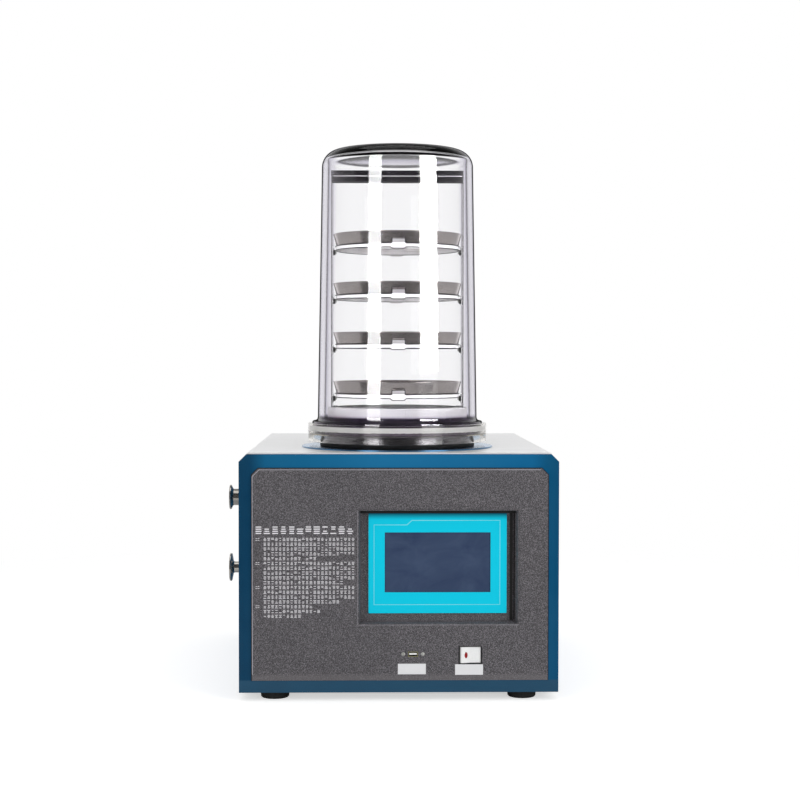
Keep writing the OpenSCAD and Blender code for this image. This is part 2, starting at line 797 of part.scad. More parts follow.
// Black cradle of the mains switch with its rim, pin holes and rear terminals
module switch_housing() {
    color("#151515") translate([switch_x, 0, switch_level]) difference() {
        union() {
            plate_y(panel_y - cradle_rim, cradle_rim) round_rect(cradle_w + 1.2, cradle_h + 1.2, 0.6);
            plate_y(panel_y, panel_t) square([cradle_w, cradle_h], center = true);
            plate_y(front_y, 24) square([cradle_w + 3, cradle_h + 3], center = true);
        }
        plate_y(panel_y - cradle_rim - 1, 17 + cradle_rim) square([cradle_in, cradle_up], center = true);
        translate([0, pin_y, 0]) cylinder(r = pin_r + pin_gap, h = rocker_h + 3, center = true, $fn = 32);
    }
    color("#c9a227") translate([switch_x, panel_y + 25, switch_level]) for (x = [-8, 8], z = [-5, 5])
        translate([x - 0.4, 0, z - 3]) cube([0.8, 10, 6]);
}

// Rocker: two faces that meet at a shallow angle, its right end pressed in
module switch_rocker() {
    a = rocker_turn / 2;
    end = rocker_arc + 1;
    color("white") translate([switch_x, pin_y, switch_level]) {
        rotate([0, 0, a]) translate([0, 0, -rocker_h / 2]) linear_extrude(rocker_h) intersection() {
            circle(r = rocker_arc, $fn = fine);
            polygon([[-end, -rocker_face - end * tan(a)], [0, -rocker_face], [end, -rocker_face - end * tan(a)],
                [end, 0], [6, rocker_back], [-6, rocker_back], [-end, 0]]);
        }
        cylinder(r = pin_r, h = rocker_h + 2.4, center = true, $fn = 32);
    }
}

// ---------------------------------------------------------------- cold trap and chamber seat

// Moves its children onto the trap's axis
module on_axis(z) {
    translate([0, axis_y, z]) children();
}

module base_disc() {
    color("#c8ccd0") on_axis(disc_z) ring(disc_r, neck_r, disc_t);
}

module collar_pad() {
    color("#101010") on_axis(pad_z) ring(pad_r, neck_r, pad_t);
}

// Stainless trap: pot, flat collar with a bevelled rim, vacuum branch hole and drain hole
module cold_trap_pot() {
    b = 1;
    color("#a9adb0") on_axis(0) difference() {
        rotate_extrude($fn = fine) polygon([
            [0, trap_low - trap_wall], [trap_out, trap_low - trap_wall], [trap_out, collar_z],
            [collar_r, collar_z], [collar_r, collar_top - b], [collar_r - b, collar_top], [trap_r, collar_top],
            [trap_r, trap_low], [0, trap_low]]);
        translate([vac_turn_x, 0, vac_level]) rotate([-90, 0, 0]) cylinder(d = vac_d, h = trap_r + 20, $fn = fine);
        translate([0, 0, trap_low - trap_wall - 1]) cylinder(d = vent_d, h = trap_wall + 2, $fn = fine);
    }
}

// Foam shell round the trap, flat in front where the screen's housing needs room
module trap_insulation() {
    flat_y = floor_y + hmi_deep + 2;
    color("#e8dfb8") difference() {
        on_axis(foam_bottom) cylinder(r = foam_r, h = foam_top - foam_bottom, $fn = fine);
        on_axis(trap_low - trap_wall - 0.2) cylinder(r = foam_in, h = cab_h, $fn = fine);
        translate([-foam_r - 1, axis_y - foam_r - 50, foam_bottom - 1])
            cube([2 * foam_r + 2, flat_y - axis_y + foam_r + 50, foam_top - foam_bottom + 2]);
        translate([vac_turn_x, axis_y, vac_level]) rotate([-90, 0, 0])
            cylinder(d = vac_d + 1, h = foam_r + 20, $fn = fine);
        on_axis(foam_bottom - 1) cylinder(d = vent_d + 1, h = foam_low + 2, $fn = fine);
        translate([coil_r, axis_y, coil_low_z]) rotate([-90, 0, 0])
            cylinder(d = 5, h = foam_r + 20, $fn = 32);
        translate([-trap_out - line_d / 2 - 0.3, axis_y, coil_end_z]) rotate([-90, 0, 0])
            cylinder(d = line_d + 1, h = foam_r + 20, $fn = 32);
    }
}

// Evaporator: one helical tube close round the pot, above the vacuum branch
function coil_point(i) = let (a = -360 * i / coil_steps)
    [coil_r * cos(a), coil_r * sin(a), coil_low_z + coil_pitch * i / coil_steps];
function coil_ring(i) = let (a = -360 * i / coil_steps, p = coil_point(i))
    [for (k = [0:coil_sides - 1]) let (b = 360 * k / coil_sides)
        p + coil_d / 2 * [cos(b) * cos(a), cos(b) * sin(a), sin(b)]];
module evaporator_coil() {
    n = (coil_wound + 0.5) * coil_steps;
    rings = [for (i = [0:n]) each coil_ring(i)];
    walls = [for (i = [0:n - 1], k = [0:coil_sides - 1]) let (j = (k + 1) % coil_sides)
        [i * coil_sides + j, (i + 1) * coil_sides + j, (i + 1) * coil_sides + k, i * coil_sides + k]];
    low_end = [for (k = [coil_sides - 1:-1:0]) k];
    high_end = [for (k = [0:coil_sides - 1]) n * coil_sides + k];
    color("#b87333") on_axis(0) polyhedron(points = rings, faces = concat(walls, [low_end, high_end]), convexity = 8);
}

// Soft seal ring: a web between collar and chamber, and a skirt round both
module seal_ring() {
    low = collar_top - seal_drop;
    b = 0.8;
    color("#d8d2bd") on_axis(0) rotate_extrude($fn = fine) polygon([
        [web_in, collar_top], [seal_in, collar_top], [seal_in, low], [seal_r - b, low], [seal_r, low + b],
        [seal_r, low + seal_h - b], [seal_r - b, low + seal_h], [seal_in, low + seal_h], [seal_in, web_top],
        [web_in, web_top]]);
}

// Clear drying chamber: foot with a fillet, drawn-in wall, round shoulder and shallow domed top
module drying_chamber() {
    top = web_top + jar_h;
    fillet = 6;
    color("#dfe8ee", 0.35) on_axis(0) difference() {
        rotate_extrude($fn = fine) {
            jar_section(jar_low_r, jar_top_r, web_top, top, shoulder_r);
            translate([jar_low_r - 1, web_top]) polygon([[0, 0], [jar_foot_out + 1, 0],
                [jar_foot_out + 1, jar_foot_h - 1.5], [jar_foot_out - 0.5, jar_foot_h], [0, jar_foot_h]]);
            translate([jar_low_r - 1, web_top + jar_foot_h - eps]) difference() {
                square([fillet + 1, fillet]);
                translate([fillet + 1, fillet]) circle(r = fillet, $fn = 48);
            }
        }
        rotate_extrude($fn = fine)
            jar_section(jar_low_r - jar_wall, jar_top_r - jar_wall, web_top - 1, top - jar_roof, shoulder_r - jar_wall);
    }
}

// Half section of a solid bell: wall from r0 to r1, round shoulder, then a dome that runs on from it
shoulder_r = 25;
shoulder_turn = 81.6;
module jar_section(r0, r1, low, top, bend) {
    c = r1 - bend;
    dome_r = bend + c / cos(shoulder_turn);
    z0 = top - bend - c * (1 / cos(shoulder_turn) - tan(shoulder_turn));
    edge = [cos(shoulder_turn), sin(shoulder_turn)] * bend * 1.5;
    polygon([[0, low], [r0, low], [r1, z0], [0, z0]]);
    intersection() {
        translate([c, z0]) circle(r = bend, $fn = fine);
        translate([max(c - bend, 0), z0 - eps]) square(bend * 2);
    }
    intersection() {
        translate([0, top - dome_r]) circle(r = dome_r, $fn = 1440);
        polygon([[0, z0], [c, z0], [c, z0] + edge, [0, top + bend]]);
    }
}

// ---------------------------------------------------------------- rack and trays

// Base ring of the rack, its upper edge turned inwards as a narrow flange
module rack_base_ring() {
    color("#c9c9c9") on_axis(0) rotate_extrude($fn = fine) {
        translate([ring_r - rack_t, collar_top]) square([rack_t, ring_h]);
        translate([ring_r - ring_flange, ring_top - rack_t]) square([ring_flange, rack_t]);
    }
}

// Two flat posts with a foot turned inwards onto the ring's flange
module rack_posts() {
    foot = 9;
    color("#8f8f8f") on_axis(0) for (s = [0, 1]) mirror([s, 0, 0]) difference() {
        union() {
            translate([post_x - rack_t, -post_w / 2, ring_top]) cube([rack_t, post_w, bar_up]);
            translate([post_x - foot, -post_w / 2, ring_top]) cube([foot, post_w, rack_t]);
        }
        for (i = [1:4]) translate([post_x, 0, tray_z(i) - screw_drop]) rotate([0, 90, 0])
            cylinder(r = m4_r + hole_gap, h = 6, center = true, $fn = 24);
    }
}

// Crossbar: a channel between the posts, with a bead along its face
module rack_crossbar() {
    half = post_x - rack_t - 0.05;
    bead = 1.3;
    color("#6f6f6f") on_axis(bar_top - bar_h) {
        difference() {
            translate([-half, -post_w / 2 + 1, 0]) cube([2 * half, post_w - 2, bar_h]);
            translate([-half - 1, -post_w / 2 + 1 + rack_t, -1])
                cube([2 * half + 2, post_w - 2 - 2 * rack_t, bar_h + 1 - rack_t]);
        }
        for (s = [-1, 1]) translate([-half, s * (post_w / 2 - 1), bar_h / 2]) rotate([0, 90, 0])
            cylinder(r = bead, h = 2 * half, $fn = 24);
        for (s = [-1, 1]) translate([s * (half - rack_t / 2) - rack_t / 2, -post_w / 2 + 1.5, 1])
            cube([rack_t, post_w - 3, bar_h - 2]);
    }
}

// Pressed shelf: plate with a turned-down rim, four windows, two tabs and two screw lugs
module shelf(i) {
    z = tray_z(i);
    win_r = 17;
    color("#bdbdbd") on_axis(z) difference() {
        union() {
            translate([0, 0, -shelf_t]) cylinder(r = shelf_r, h = shelf_t, $fn = fine);
            translate([0, 0, -shelf_rim]) ring(shelf_r, shelf_r - shelf_t, shelf_rim);
            for (s = [0, 180]) rotate([0, 0, s]) {
                shelf_tab();
                shelf_lug();
            }
        }
        for (a = [45:90:315]) rotate([0, 0, a]) translate([shelf_r * 0.55, 0, -shelf_t - 1])
            cylinder(r = shelf_r * 0.27, h = shelf_t + 2, $fn = 64);
        translate([0, 0, -shelf_t - 1]) cylinder(r = win_r, h = shelf_t + 2, $fn = 64);
        for (s = [-1, 1]) translate([s * post_x, 0, -screw_drop]) rotate([0, 90, 0])
            cylinder(r = m4_r + hole_gap, h = 12, center = true, $fn = 24);
    }
}

// Front tab of a shelf, turned up beside the tray, over a strengthened stretch of the rim
module shelf_tab() {
    tab_y = -tray_r - 1.4;
    translate([-tab_w / 2, tab_y, -shelf_t]) cube([tab_w, -tab_y - shelf_r + 3, shelf_t]);
    plate_y(tab_y - shelf_t, shelf_t) translate([0, -shelf_t]) {
        translate([0, (tab_h + shelf_t) / 2]) round_rect(tab_w, tab_h + shelf_t, 1.5);
        translate([-tab_w / 2, 0]) square([tab_w, 2]);
    }
    plate_y(tab_y - shelf_t, shelf_t) polygon([[-tab_w / 2, 0], [-tab_w / 2 - 2.4, -shelf_rim],
        [-tab_w / 2, -shelf_rim - shelf_dip], [tab_w / 2 - 1, -shelf_rim - shelf_dip], [tab_w / 2 + 1.5, -shelf_rim],
        [tab_w / 2, 0]]);
}

// Side lug of a shelf, turned down against the post
module shelf_lug() {
    x = post_x - rack_t - 0.05;
    translate([shelf_r - 3, -lug_w / 2, -shelf_t]) cube([x - shelf_r + 3, lug_w, shelf_t]);
    translate([x - shelf_t, -lug_w / 2, -lug_h]) cube([shelf_t, lug_w, lug_h]);
}

module shelf_1() { shelf(1); }
module shelf_2() { shelf(2); }
module shelf_3() { shelf(3); }
module shelf_4() { shelf(4); }

// Spun tray: flat floor, flared wall and a small rolled rim
module tray(i) {
    t = tray_wall;
    bead = 0.8;
    color("#a39f9d") on_axis(tray_z(i)) rotate_extrude($fn = fine) {
        polygon([[0, 0], [tray_floor_r - 1, 0], [tray_floor_r, 1], [tray_r, tray_h], [tray_r - t, tray_h],
            [tray_floor_r - t, 1 + t / 2], [tray_floor_r - 1 - t / 2, t], [0, t]]);
        translate([tray_r, tray_h - bead]) circle(r = bead, $fn = 24);
    }
}

module tray_1() { tray(1); }
module tray_2() { tray(2); }
module tray_3() { tray(3); }
module tray_4() { tray(4); }

// Screws through posts and shelf lugs
module rack_screws() {
    color(steel) on_axis(0) for (i = [1:4], s = [-1, 1])
        translate([s * post_x, 0, tray_z(i) - screw_drop]) rotate([0, s * 90, 0]) pan_screw(m4_r, 3.2, 1.5, 7.6);
}

module rack_nuts() {
    nut_h = 3;
    x = post_x - rack_t - 0.05 - shelf_t;
    color("#3c3c3c") on_axis(0) for (i = [1:4], s = [-1, 1])
        translate([s * x, 0, tray_z(i) - screw_drop]) rotate([0, -s * 90, 0]) difference() {
            cylinder(r = 4, h = nut_h, $fn = 6);
            translate([0, 0, -1]) cylinder(r = m4_r + 0.05, h = nut_h + 2, $fn = 24);
        }
}

// ---------------------------------------------------------------- side ports and pipes

// Tube end with a clamp flange on the left side, a wall washer and a nut inside
module side_port(y, z, out, d, bore) {
    wall_x = -cab_w / 2;
    r = d / 2;
    big = flange_d / 2;
    color("#b5b0ab") translate([wall_x, y, z]) rotate([0, -90, 0]) rotate_extrude($fn = fine) polygon([
        [bore / 2, -18], [r, -18], [r, -sheet_t - 5], [r + 5, -sheet_t - 5], [r + 5, -sheet_t], [r, -sheet_t],
        [r, 0], [r + 3.5, 0], [r + 3.5, 2], [r, 2], [r, out - flange_t - 2], [big - 1, out - flange_t],
        [big, out - flange_t + 0.6], [big, out - 0.5], [big - 0.5, out], [bore / 2 + 1.5, out],
        [bore / 2, out - 1.5]]);
}

module vacuum_port() {
    side_port(vac_y, vac_level, vac_out, vac_d, vac_bore);
}

module vent_port() {
    side_port(vent_y, vent_level, vent_out, vent_d, vent_bore);
}

// Tube from the vacuum port to the trap's side
module vacuum_pipe() {
    x0 = -cab_w / 2 + 18;
    y1 = axis_y + sqrt(pow(trap_out, 2) - pow(abs(vac_turn_x) - vac_d / 2, 2)) - 1;
    color("#c4c4c4") difference() {
        tube_route([[x0, vac_y, vac_level], [vac_turn_x, vac_y, vac_level], [vac_turn_x, y1 - 20, vac_level]],
            vac_d, vac_bore, vac_bend);
        on_axis(vac_level - 30) cylinder(r = trap_out + 0.1, h = 60, $fn = fine);
    }
}

// Tube from the trap's drain to the vent port
module drain_pipe() {
    x0 = -cab_w / 2 + 18;
    x1 = -trap_r - 40;
    color("#c4c4c4") tube_route([[x0, vent_y, vent_level], [x1, vent_y, vent_level], [x1, axis_y, vent_level],
        [0, axis_y, vent_level], [0, axis_y, trap_low - trap_wall - 0.1]], vent_d - 0.4, vent_bore, vent_bend);
}

// Vacuum gauge on a branch of the vacuum pipe
module vacuum_sensor() {
    x = (vac_turn_x - cab_w / 2) / 2;
    color("#d9d9d9") translate([x, vac_y, vac_level]) difference() {
        union() {
            cylinder(r = 8, h = 34, $fn = 48);
            translate([0, 0, 34]) cylinder(r = 17, h = 3, $fn = 48);
            translate([0, 0, 37]) cylinder(r = 14, h = 32, $fn = 48);
            rotate([0, 90, 0]) cylinder(d = vac_d + 8, h = 22, center = true, $fn = 64);
        }
        rotate([0, 90, 0]) cylinder(d = vac_d + 0.2, h = 40, center = true, $fn = 64);
    }
}

// ---------------------------------------------------------------- refrigeration set

// Places its children at the compressor's four mounting studs
module at_comp_feet() {
    for (x = [-1, 1], y = [-1, 1]) translate([comp_x + x * comp_hole, comp_y + y * comp_hole, 0]) children();
}

// Hermetic compressor: domed shell with a weld seam, foot plate, terminal box and pipe stubs
module compressor() {
    r = comp_r;
    seam = comp_h * 0.54;
    plate = comp_hole + 9;
    color("#1d1f21") {
        translate([comp_x, comp_y, comp_low]) {
            rotate_extrude($fn = fine) {
                jar_section(r, r, seam, comp_h, 32);
                translate([0, seam - 2.5]) square([r + 3, 5]);
                translate([0, seam]) mirror([0, 1]) jar_section(r, r, 0, seam, 24);
            }
            translate([-r - 6, -24, 44]) cube([18, 48, 52]);
            translate([0, -r + 10, suction_z - comp_low]) rotate([90, 0, 0])
                cylinder(d = line_d + 3, h = 13, $fn = 32);
            translate([r - 10, 0, discharge_z - comp_low]) rotate([0, 90, 0])
                cylinder(d = line_d + 3, h = 13, $fn = 32);
        }
        difference() {
            translate([comp_x, comp_y, comp_low - 3]) linear_extrude(5) round_rect(2 * plate, 2 * plate, 8);
            at_comp_feet() translate([0, 0, comp_low - 4]) cylinder(r = stud_r + 0.4, h = 8, $fn = 24);
        }
    }
}

module compressor_grommets() {
    color("#2a2a2a") at_comp_feet() rotate_extrude($fn = 48) polygon([[stud_r + hole_gap, pan_top], [9, pan_top],
        [9, pan_top + 4], [7, pan_top + 5.5], [7, comp_low - 5], [9, comp_low - 4], [9, comp_low - 3],
        [stud_r + hole_gap, comp_low - 3]]);
}

// Condenser: two end plates, upright fins and one serpentine tube in eight rows
module condenser() {
    t = 1.5;
    fins = 14;
    tube = 4;
    dx = cond_w / 2;
    color("#b8bcc0") translate([cond_x, cond_y, 0]) {
        for (s = [-1, 1]) {
            translate([s * (dx - t / 2) - t / 2, -cond_t / 2, pan_top]) cube([t, cond_t, cond_z - pan_top + cond_h]);
            translate([s * (dx - 7) - 7, -cond_t / 2, pan_top]) cube([14, cond_t, t]);
        }
        for (i = [1:fins]) translate([-dx + i * cond_w / (fins + 1), -cond_t / 2 + 1, cond_z + 4])
            cube([0.8, cond_t - 2, cond_h - 8]);
        for (i = [0:7]) translate([-dx - 3, 0, cond_row(i)]) rotate([0, 90, 0])
            cylinder(r = tube, h = cond_w + 6, $fn = 24);
        for (i = [0:6]) {
            s = i % 2 == 0 ? 1 : -1;
            translate([s * (dx + 3), 0, (cond_row(i) + cond_row(i + 1)) / 2]) rotate([90, 0, 0])
                rotate([0, 0, s > 0 ? -90 : 90]) rotate_extrude(angle = 180, $fn = 48)
                    translate([cond_pitch / 2, 0]) circle(r = tube, $fn = 24);
        }
    }
}

// Shroud between fan and condenser, with the arms that carry the fan's motor
module fan_shroud() {
    t = 1.5;
    hole_r = fan_r + 3;
    color("#2c2e30") translate([cond_x, 0, fan_z]) {
        difference() {
            plate_y(shroud_y, shroud_deep) square([cond_w, cond_h], center = true);
            plate_y(shroud_y + t, shroud_deep) square([cond_w - 2 * t, cond_h - 2 * t], center = true);
            plate_y(shroud_y - 1, t + 2) circle(r = hole_r, $fn = fine);
        }
        plate_y(shroud_y, shroud_deep - 8) difference() {
            circle(r = hole_r + 1.2, $fn = fine);
            circle(r = hole_r, $fn = fine);
        }
        plate_y(shroud_y - 6, 6) difference() {
            circle(r = motor_r + 4, $fn = fine);
            circle(r = motor_r + sheet_gap, $fn = fine);
        }
        plate_y(shroud_y - 3, 3) for (a = [45:90:315]) rotate(a) translate([motor_r + 2, -4]) difference() {
            square([hole_r + 8 - motor_r - 2, 8]);
            translate([hole_r + 3 - motor_r - 2, 4]) circle(r = 1.6, $fn = 24);
        }
    }
}

// Fan motor with its bearing bore and end boss
module fan_motor() {
    color("#3d4144") translate([cond_x, shroud_y + 1, fan_z]) rotate([90, 0, 0]) difference() {
        union() {
            rotate_extrude($fn = fine) polygon([[0, 0], [motor_r - 2, 0], [motor_r, 2], [motor_r, motor_h - 6],
                [motor_r - 6, motor_h], [0, motor_h]]);
            translate([0, 0, motor_h - 1]) cylinder(r = 10, h = 5, $fn = 48);
            translate([0, 0, -2]) cylinder(r = 10, h = 3, $fn = 48);
        }
        translate([0, 0, -3]) cylinder(r = shaft_r + 0.05, h = 28, $fn = 48);
        for (a = [0:30:330]) rotate([0, 0, a]) translate([motor_r - 9, 0, motor_h - 12])
            cylinder(r = 2, h = 14, $fn = 24);
    }
}

// Fan rotor: hub, pitched blades and shaft, turning about the shaft's axis along Y
module fan_rotor() {
    tilt = 33;
    chord = 40;
    hub_h = 18;
    color("#8d9296") translate([cond_x, fan_y, fan_z]) rotate([-90, 0, 0]) {
        translate([0, 0, -hub_h / 2]) cylinder(r = fan_hub_r, h = hub_h, $fn = 64);
        translate([0, 0, hub_h / 2 - 1]) cylinder(r1 = fan_hub_r - 2, r2 = fan_hub_r - 6, h = 4, $fn = 64);
        translate([0, 0, -hub_h / 2 - 24]) cylinder(r = shaft_r, h = 26, $fn = 48);
        intersection() {
            for (i = [0:fan_blades - 1]) rotate([0, 0, i * 360 / fan_blades]) rotate([tilt, 0, 0])
                translate([fan_hub_r - 4, -chord / 2, -1]) cube([fan_r, chord, 2]);
            cylinder(r = fan_r, h = 60, center = true, $fn = fine);
        }
    }
}

// Filter drier with the liquid line from the condenser and the thin line to the evaporator
module filter_drier() {
    r = 11;
    low = cond_z + 52;
    top = low + 74;
    left = cond_x - cond_w / 2 - 3.1;
    thin = 4;
    color("#b87333") {
        bar_route([[left, cond_y, cond_row(0)], [drier_x, cond_y, cond_row(0)], [drier_x, drier_y, cond_row(0)],
            [drier_x, drier_y, low + 1]], line_d / 2, 10);
        bar_route([[drier_x, drier_y, top - 1], [drier_x, drier_y, coil_low_z], [coil_r, drier_y, coil_low_z],
            [coil_r, axis_y + 0.2, coil_low_z]], thin / 2, 10);
        translate([drier_x, drier_y, 0]) rotate_extrude($fn = 48) polygon([[0, low], [line_d / 2 + 1, low],
            [line_d / 2 + 1, low + 6], [r, low + 14], [r, top - 14], [thin / 2 + 2, top - 6],
            [thin / 2 + 2, top], [0, top]]);
    }
}

// Line from the compressor to the condenser's upper row
module discharge_line() {
    x0 = comp_x + comp_r + 3.1;
    x1 = cond_x - cond_w / 2 - 3.1;
    xm = (x0 + x1) / 2 - 8;
    color("#b87333") bar_route([[x0, comp_y, discharge_z], [xm, comp_y, discharge_z], [xm, cond_y, discharge_z],
        [xm, cond_y, cond_row(7)], [x1, cond_y, cond_row(7)]], line_d / 2, 10);
}

// Line from the evaporator's upper end back to the compressor
module suction_line() {
    x = -trap_out - line_d / 2 - 0.3;
    y = comp_y - comp_r - 20;
    color("#b87333") bar_route([[x, axis_y + 0.2, coil_end_z], [x, y, coil_end_z], [comp_x, y, coil_end_z],
        [comp_x, y, suction_z], [comp_x, comp_y - comp_r - 3.1, suction_z]], line_d / 2, 8);
}

// ---------------------------------------------------------------- electrical parts

// Power supply: perforated case with an open terminal end
module power_supply() {
    w = 160;
    d = 98;
    h = 40;
    x = inner_w / 2 - w / 2 - 30;
    color("#aeb3b7") translate([x, axis_y, pan_top]) difference() {
        translate([-w / 2, -d / 2, 0]) cube([w, d, h]);
        translate([-w / 2 - 1, -d / 2 + 2, 16]) cube([22, d - 4, h]);
        for (i = [-5:5], j = [-3:3]) translate([i * 11 + 8, j * 11, h - 2]) cylinder(r = 2.6, h = 3, $fn = 24);
    }
    color("#1b1b1b") translate([x - w / 2 + 2, axis_y, pan_top + 15.5]) difference() {
        box_y(16, 78, 13);
        for (i = [-4:4]) translate([6, i * 8, 7]) cylinder(r = 2.4, h = 8, $fn = 24);
    }
}

// A box from its lowest corner, centred on y
module box_y(w, d, h) {
    translate([0, -d / 2, 0]) cube([w, d, h]);
}

// Control board on four spacers, with its relays, capacitors, heat sink and connectors
module control_board() {
    w = 150;
    d = 104;
    z = pan_top + 10;
    x = -inner_w / 2 + w / 2 + 40;
    translate([x, axis_y, 0]) {
        color("#1f6b3a") difference() {
            translate([-w / 2, -d / 2, z]) cube([w, d, 1.6]);
            for (sx = [-1, 1], sy = [-1, 1]) translate([sx * (w / 2 - 6), sy * (d / 2 - 6), z - 1])
                cylinder(r = 1.7, h = 4, $fn = 24);
        }
        color("#c8b26a") for (sx = [-1, 1], sy = [-1, 1])
            translate([sx * (w / 2 - 6), sy * (d / 2 - 6), pan_top]) cylinder(r = 3.6, h = 10, $fn = 6);
        color("#1d4fa0") for (i = [0:3]) translate([-w / 2 + 14 + i * 21, d / 2 - 34, z + 1.6]) cube([18, 15, 15]);
        color("#202020") {
            translate([-w / 2 + 14, d / 2 - 12, z + 1.6]) cube([81, 9, 10]);
            translate([-w / 2 + 16, -d / 2 + 4, z + 1.6]) cube([54, 9, 9]);
            translate([-22, -20, z + 1.6]) cube([24, 24, 2.4]);
        }
        color("#3a3a44") for (i = [0:2]) translate([30 + i * 15, -34, z + 1.6]) cylinder(r = 6, h = 22, $fn = 48);
        color("#b9bdc1") for (i = [0:6]) translate([36 + i * 4.5, 0, z + 1.6]) cube([1.6, 40, 24]);
        color("#b9bdc1") translate([34, 0, z + 1.6]) cube([33, 40, 4]);
    }
}

// Appliance inlet: flange, shroud with cut lower corners and three blades
module power_inlet() {
    w = inlet_w;
    h = inlet_h;
    color("#141414") translate([inlet_x, 0, inlet_z]) difference() {
        union() {
            plate_y(rear_y, 3) round_rect(w + 20, h + 4, 4);
            plate_y(rear_y - 22, 22 + 0.5) square([w, h], center = true);
        }
        plate_y(rear_y - 14, 20) polygon([[-w / 2 + 2, h / 2 - 2], [w / 2 - 2, h / 2 - 2], [w / 2 - 2, -h / 2 + 6],
            [w / 2 - 6, -h / 2 + 2], [-w / 2 + 6, -h / 2 + 2], [-w / 2 + 2, -h / 2 + 6]]);
        for (s = [-1, 1]) translate([s * (w / 2 + 6), rear_y - 1, 0]) rotate([-90, 0, 0])
            cylinder(r = m3_r + hole_gap, h = 6, $fn = 24);
    }
    color("#c9ccce") translate([inlet_x, rear_y - 15, inlet_z]) for (p = [[-7, -1], [7, -1], [0, 3]])
        translate([p[0] - 1, 0, p[1] - 2]) cube([2, 13, 4]);
}

// Appliance outlet for the vacuum pump: flange and a face with three slots
module pump_outlet() {
    w = inlet_w;
    h = inlet_h;
    color("#141414") translate([outlet_x, 0, inlet_z]) difference() {
        union() {
            plate_y(rear_y, 3) round_rect(w + 20, h + 4, 4);
            plate_y(rear_y - 20, 20.5) square([w, h], center = true);
        }
        plate_y(rear_y - 12, 20) difference() {
            square([w - 3, h - 3], center = true);
            square([w - 6, h - 6], center = true);
        }
        for (p = [[-7, 1], [7, 1], [0, -3]]) translate([p[0] - 1.2, rear_y - 12, p[1] - 2.2]) cube([2.4, 20, 4.4]);
        for (s = [-1, 1]) translate([s * (w / 2 + 6), rear_y - 1, 0]) rotate([-90, 0, 0])
            cylinder(r = m3_r + hole_gap, h = 6, $fn = 24);
    }
}

// Fuse holder: threaded body, collar and a slotted cap
module fuse_holder() {
    color("#101010") translate([fuse_x, rear_y, fuse_z]) rotate([-90, 0, 0]) difference() {
        union() {
            translate([0, 0, -30]) cylinder(r = fuse_r, h = 31, $fn = 48);
            cylinder(r = fuse_r + 2.5, h = 3, $fn = 48);
            cylinder(r = fuse_r - 0.5, h = 9, $fn = 48);
            translate([0, 0, -frame_t - 4]) cylinder(r = fuse_r + 3.5, h = 4, $fn = 6);
        }
        translate([-fuse_r, -0.7, 7.5]) cube([2 * fuse_r, 1.4, 3]);
    }
}

// ---------------------------------------------------------------- every node

base_pan();
feet();
foot_screws();
front_frame();
left_side_panel();
right_side_panel();
rear_panel();
top_plate();
case_screws();
front_panel();
screen_recess();
screen_bezel();
lcd_glass();
screen_housing();
usb_socket();
usb_screws();
usb_label();
switch_label();
switch_housing();
switch_rocker();
base_disc();
collar_pad();
cold_trap_pot();
trap_insulation();
evaporator_coil();
seal_ring();
drying_chamber();
rack_base_ring();
rack_posts();
rack_crossbar();
shelf_1();
shelf_2();
shelf_3();
shelf_4();
tray_1();
tray_2();
tray_3();
tray_4();
rack_screws();
rack_nuts();
vacuum_port();
vacuum_pipe();
vent_port();
drain_pipe();
vacuum_sensor();
compressor();
compressor_grommets();
condenser();
fan_shroud();
fan_motor();
fan_rotor();
filter_drier();
discharge_line();
suction_line();
power_supply();
control_board();
power_inlet();
pump_outlet();
fuse_holder();
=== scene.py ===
"""Looks of a bench-top laboratory freeze dryer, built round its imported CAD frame."""

import json
import math
import random

import bmesh
import bpy
from mathutils import Matrix, Vector


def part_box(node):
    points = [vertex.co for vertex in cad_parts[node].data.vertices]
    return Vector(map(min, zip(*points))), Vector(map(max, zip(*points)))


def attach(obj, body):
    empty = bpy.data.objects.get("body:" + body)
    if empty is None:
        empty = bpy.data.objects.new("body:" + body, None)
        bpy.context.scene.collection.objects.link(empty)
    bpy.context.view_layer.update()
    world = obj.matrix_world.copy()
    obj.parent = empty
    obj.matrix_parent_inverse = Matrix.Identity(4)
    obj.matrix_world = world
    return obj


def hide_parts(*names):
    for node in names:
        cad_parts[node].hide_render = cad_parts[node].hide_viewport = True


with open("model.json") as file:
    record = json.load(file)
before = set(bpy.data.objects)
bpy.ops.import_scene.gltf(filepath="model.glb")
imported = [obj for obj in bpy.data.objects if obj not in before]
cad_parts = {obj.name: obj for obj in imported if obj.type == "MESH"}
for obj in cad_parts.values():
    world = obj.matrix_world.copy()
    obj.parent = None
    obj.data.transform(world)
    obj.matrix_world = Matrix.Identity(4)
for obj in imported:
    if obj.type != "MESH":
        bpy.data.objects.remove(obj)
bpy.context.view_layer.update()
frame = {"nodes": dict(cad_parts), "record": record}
nodes = frame["nodes"]
slots = {part["node"]: part["material_slot"] for part in frame["record"]["subparts"]}
MM = 0.001


def span(node):
    """Lowest and highest corner of a CAD node, in metres."""
    low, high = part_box(node)
    return Vector(low), Vector(high)


# ------------------------------------------------------------------ node trees

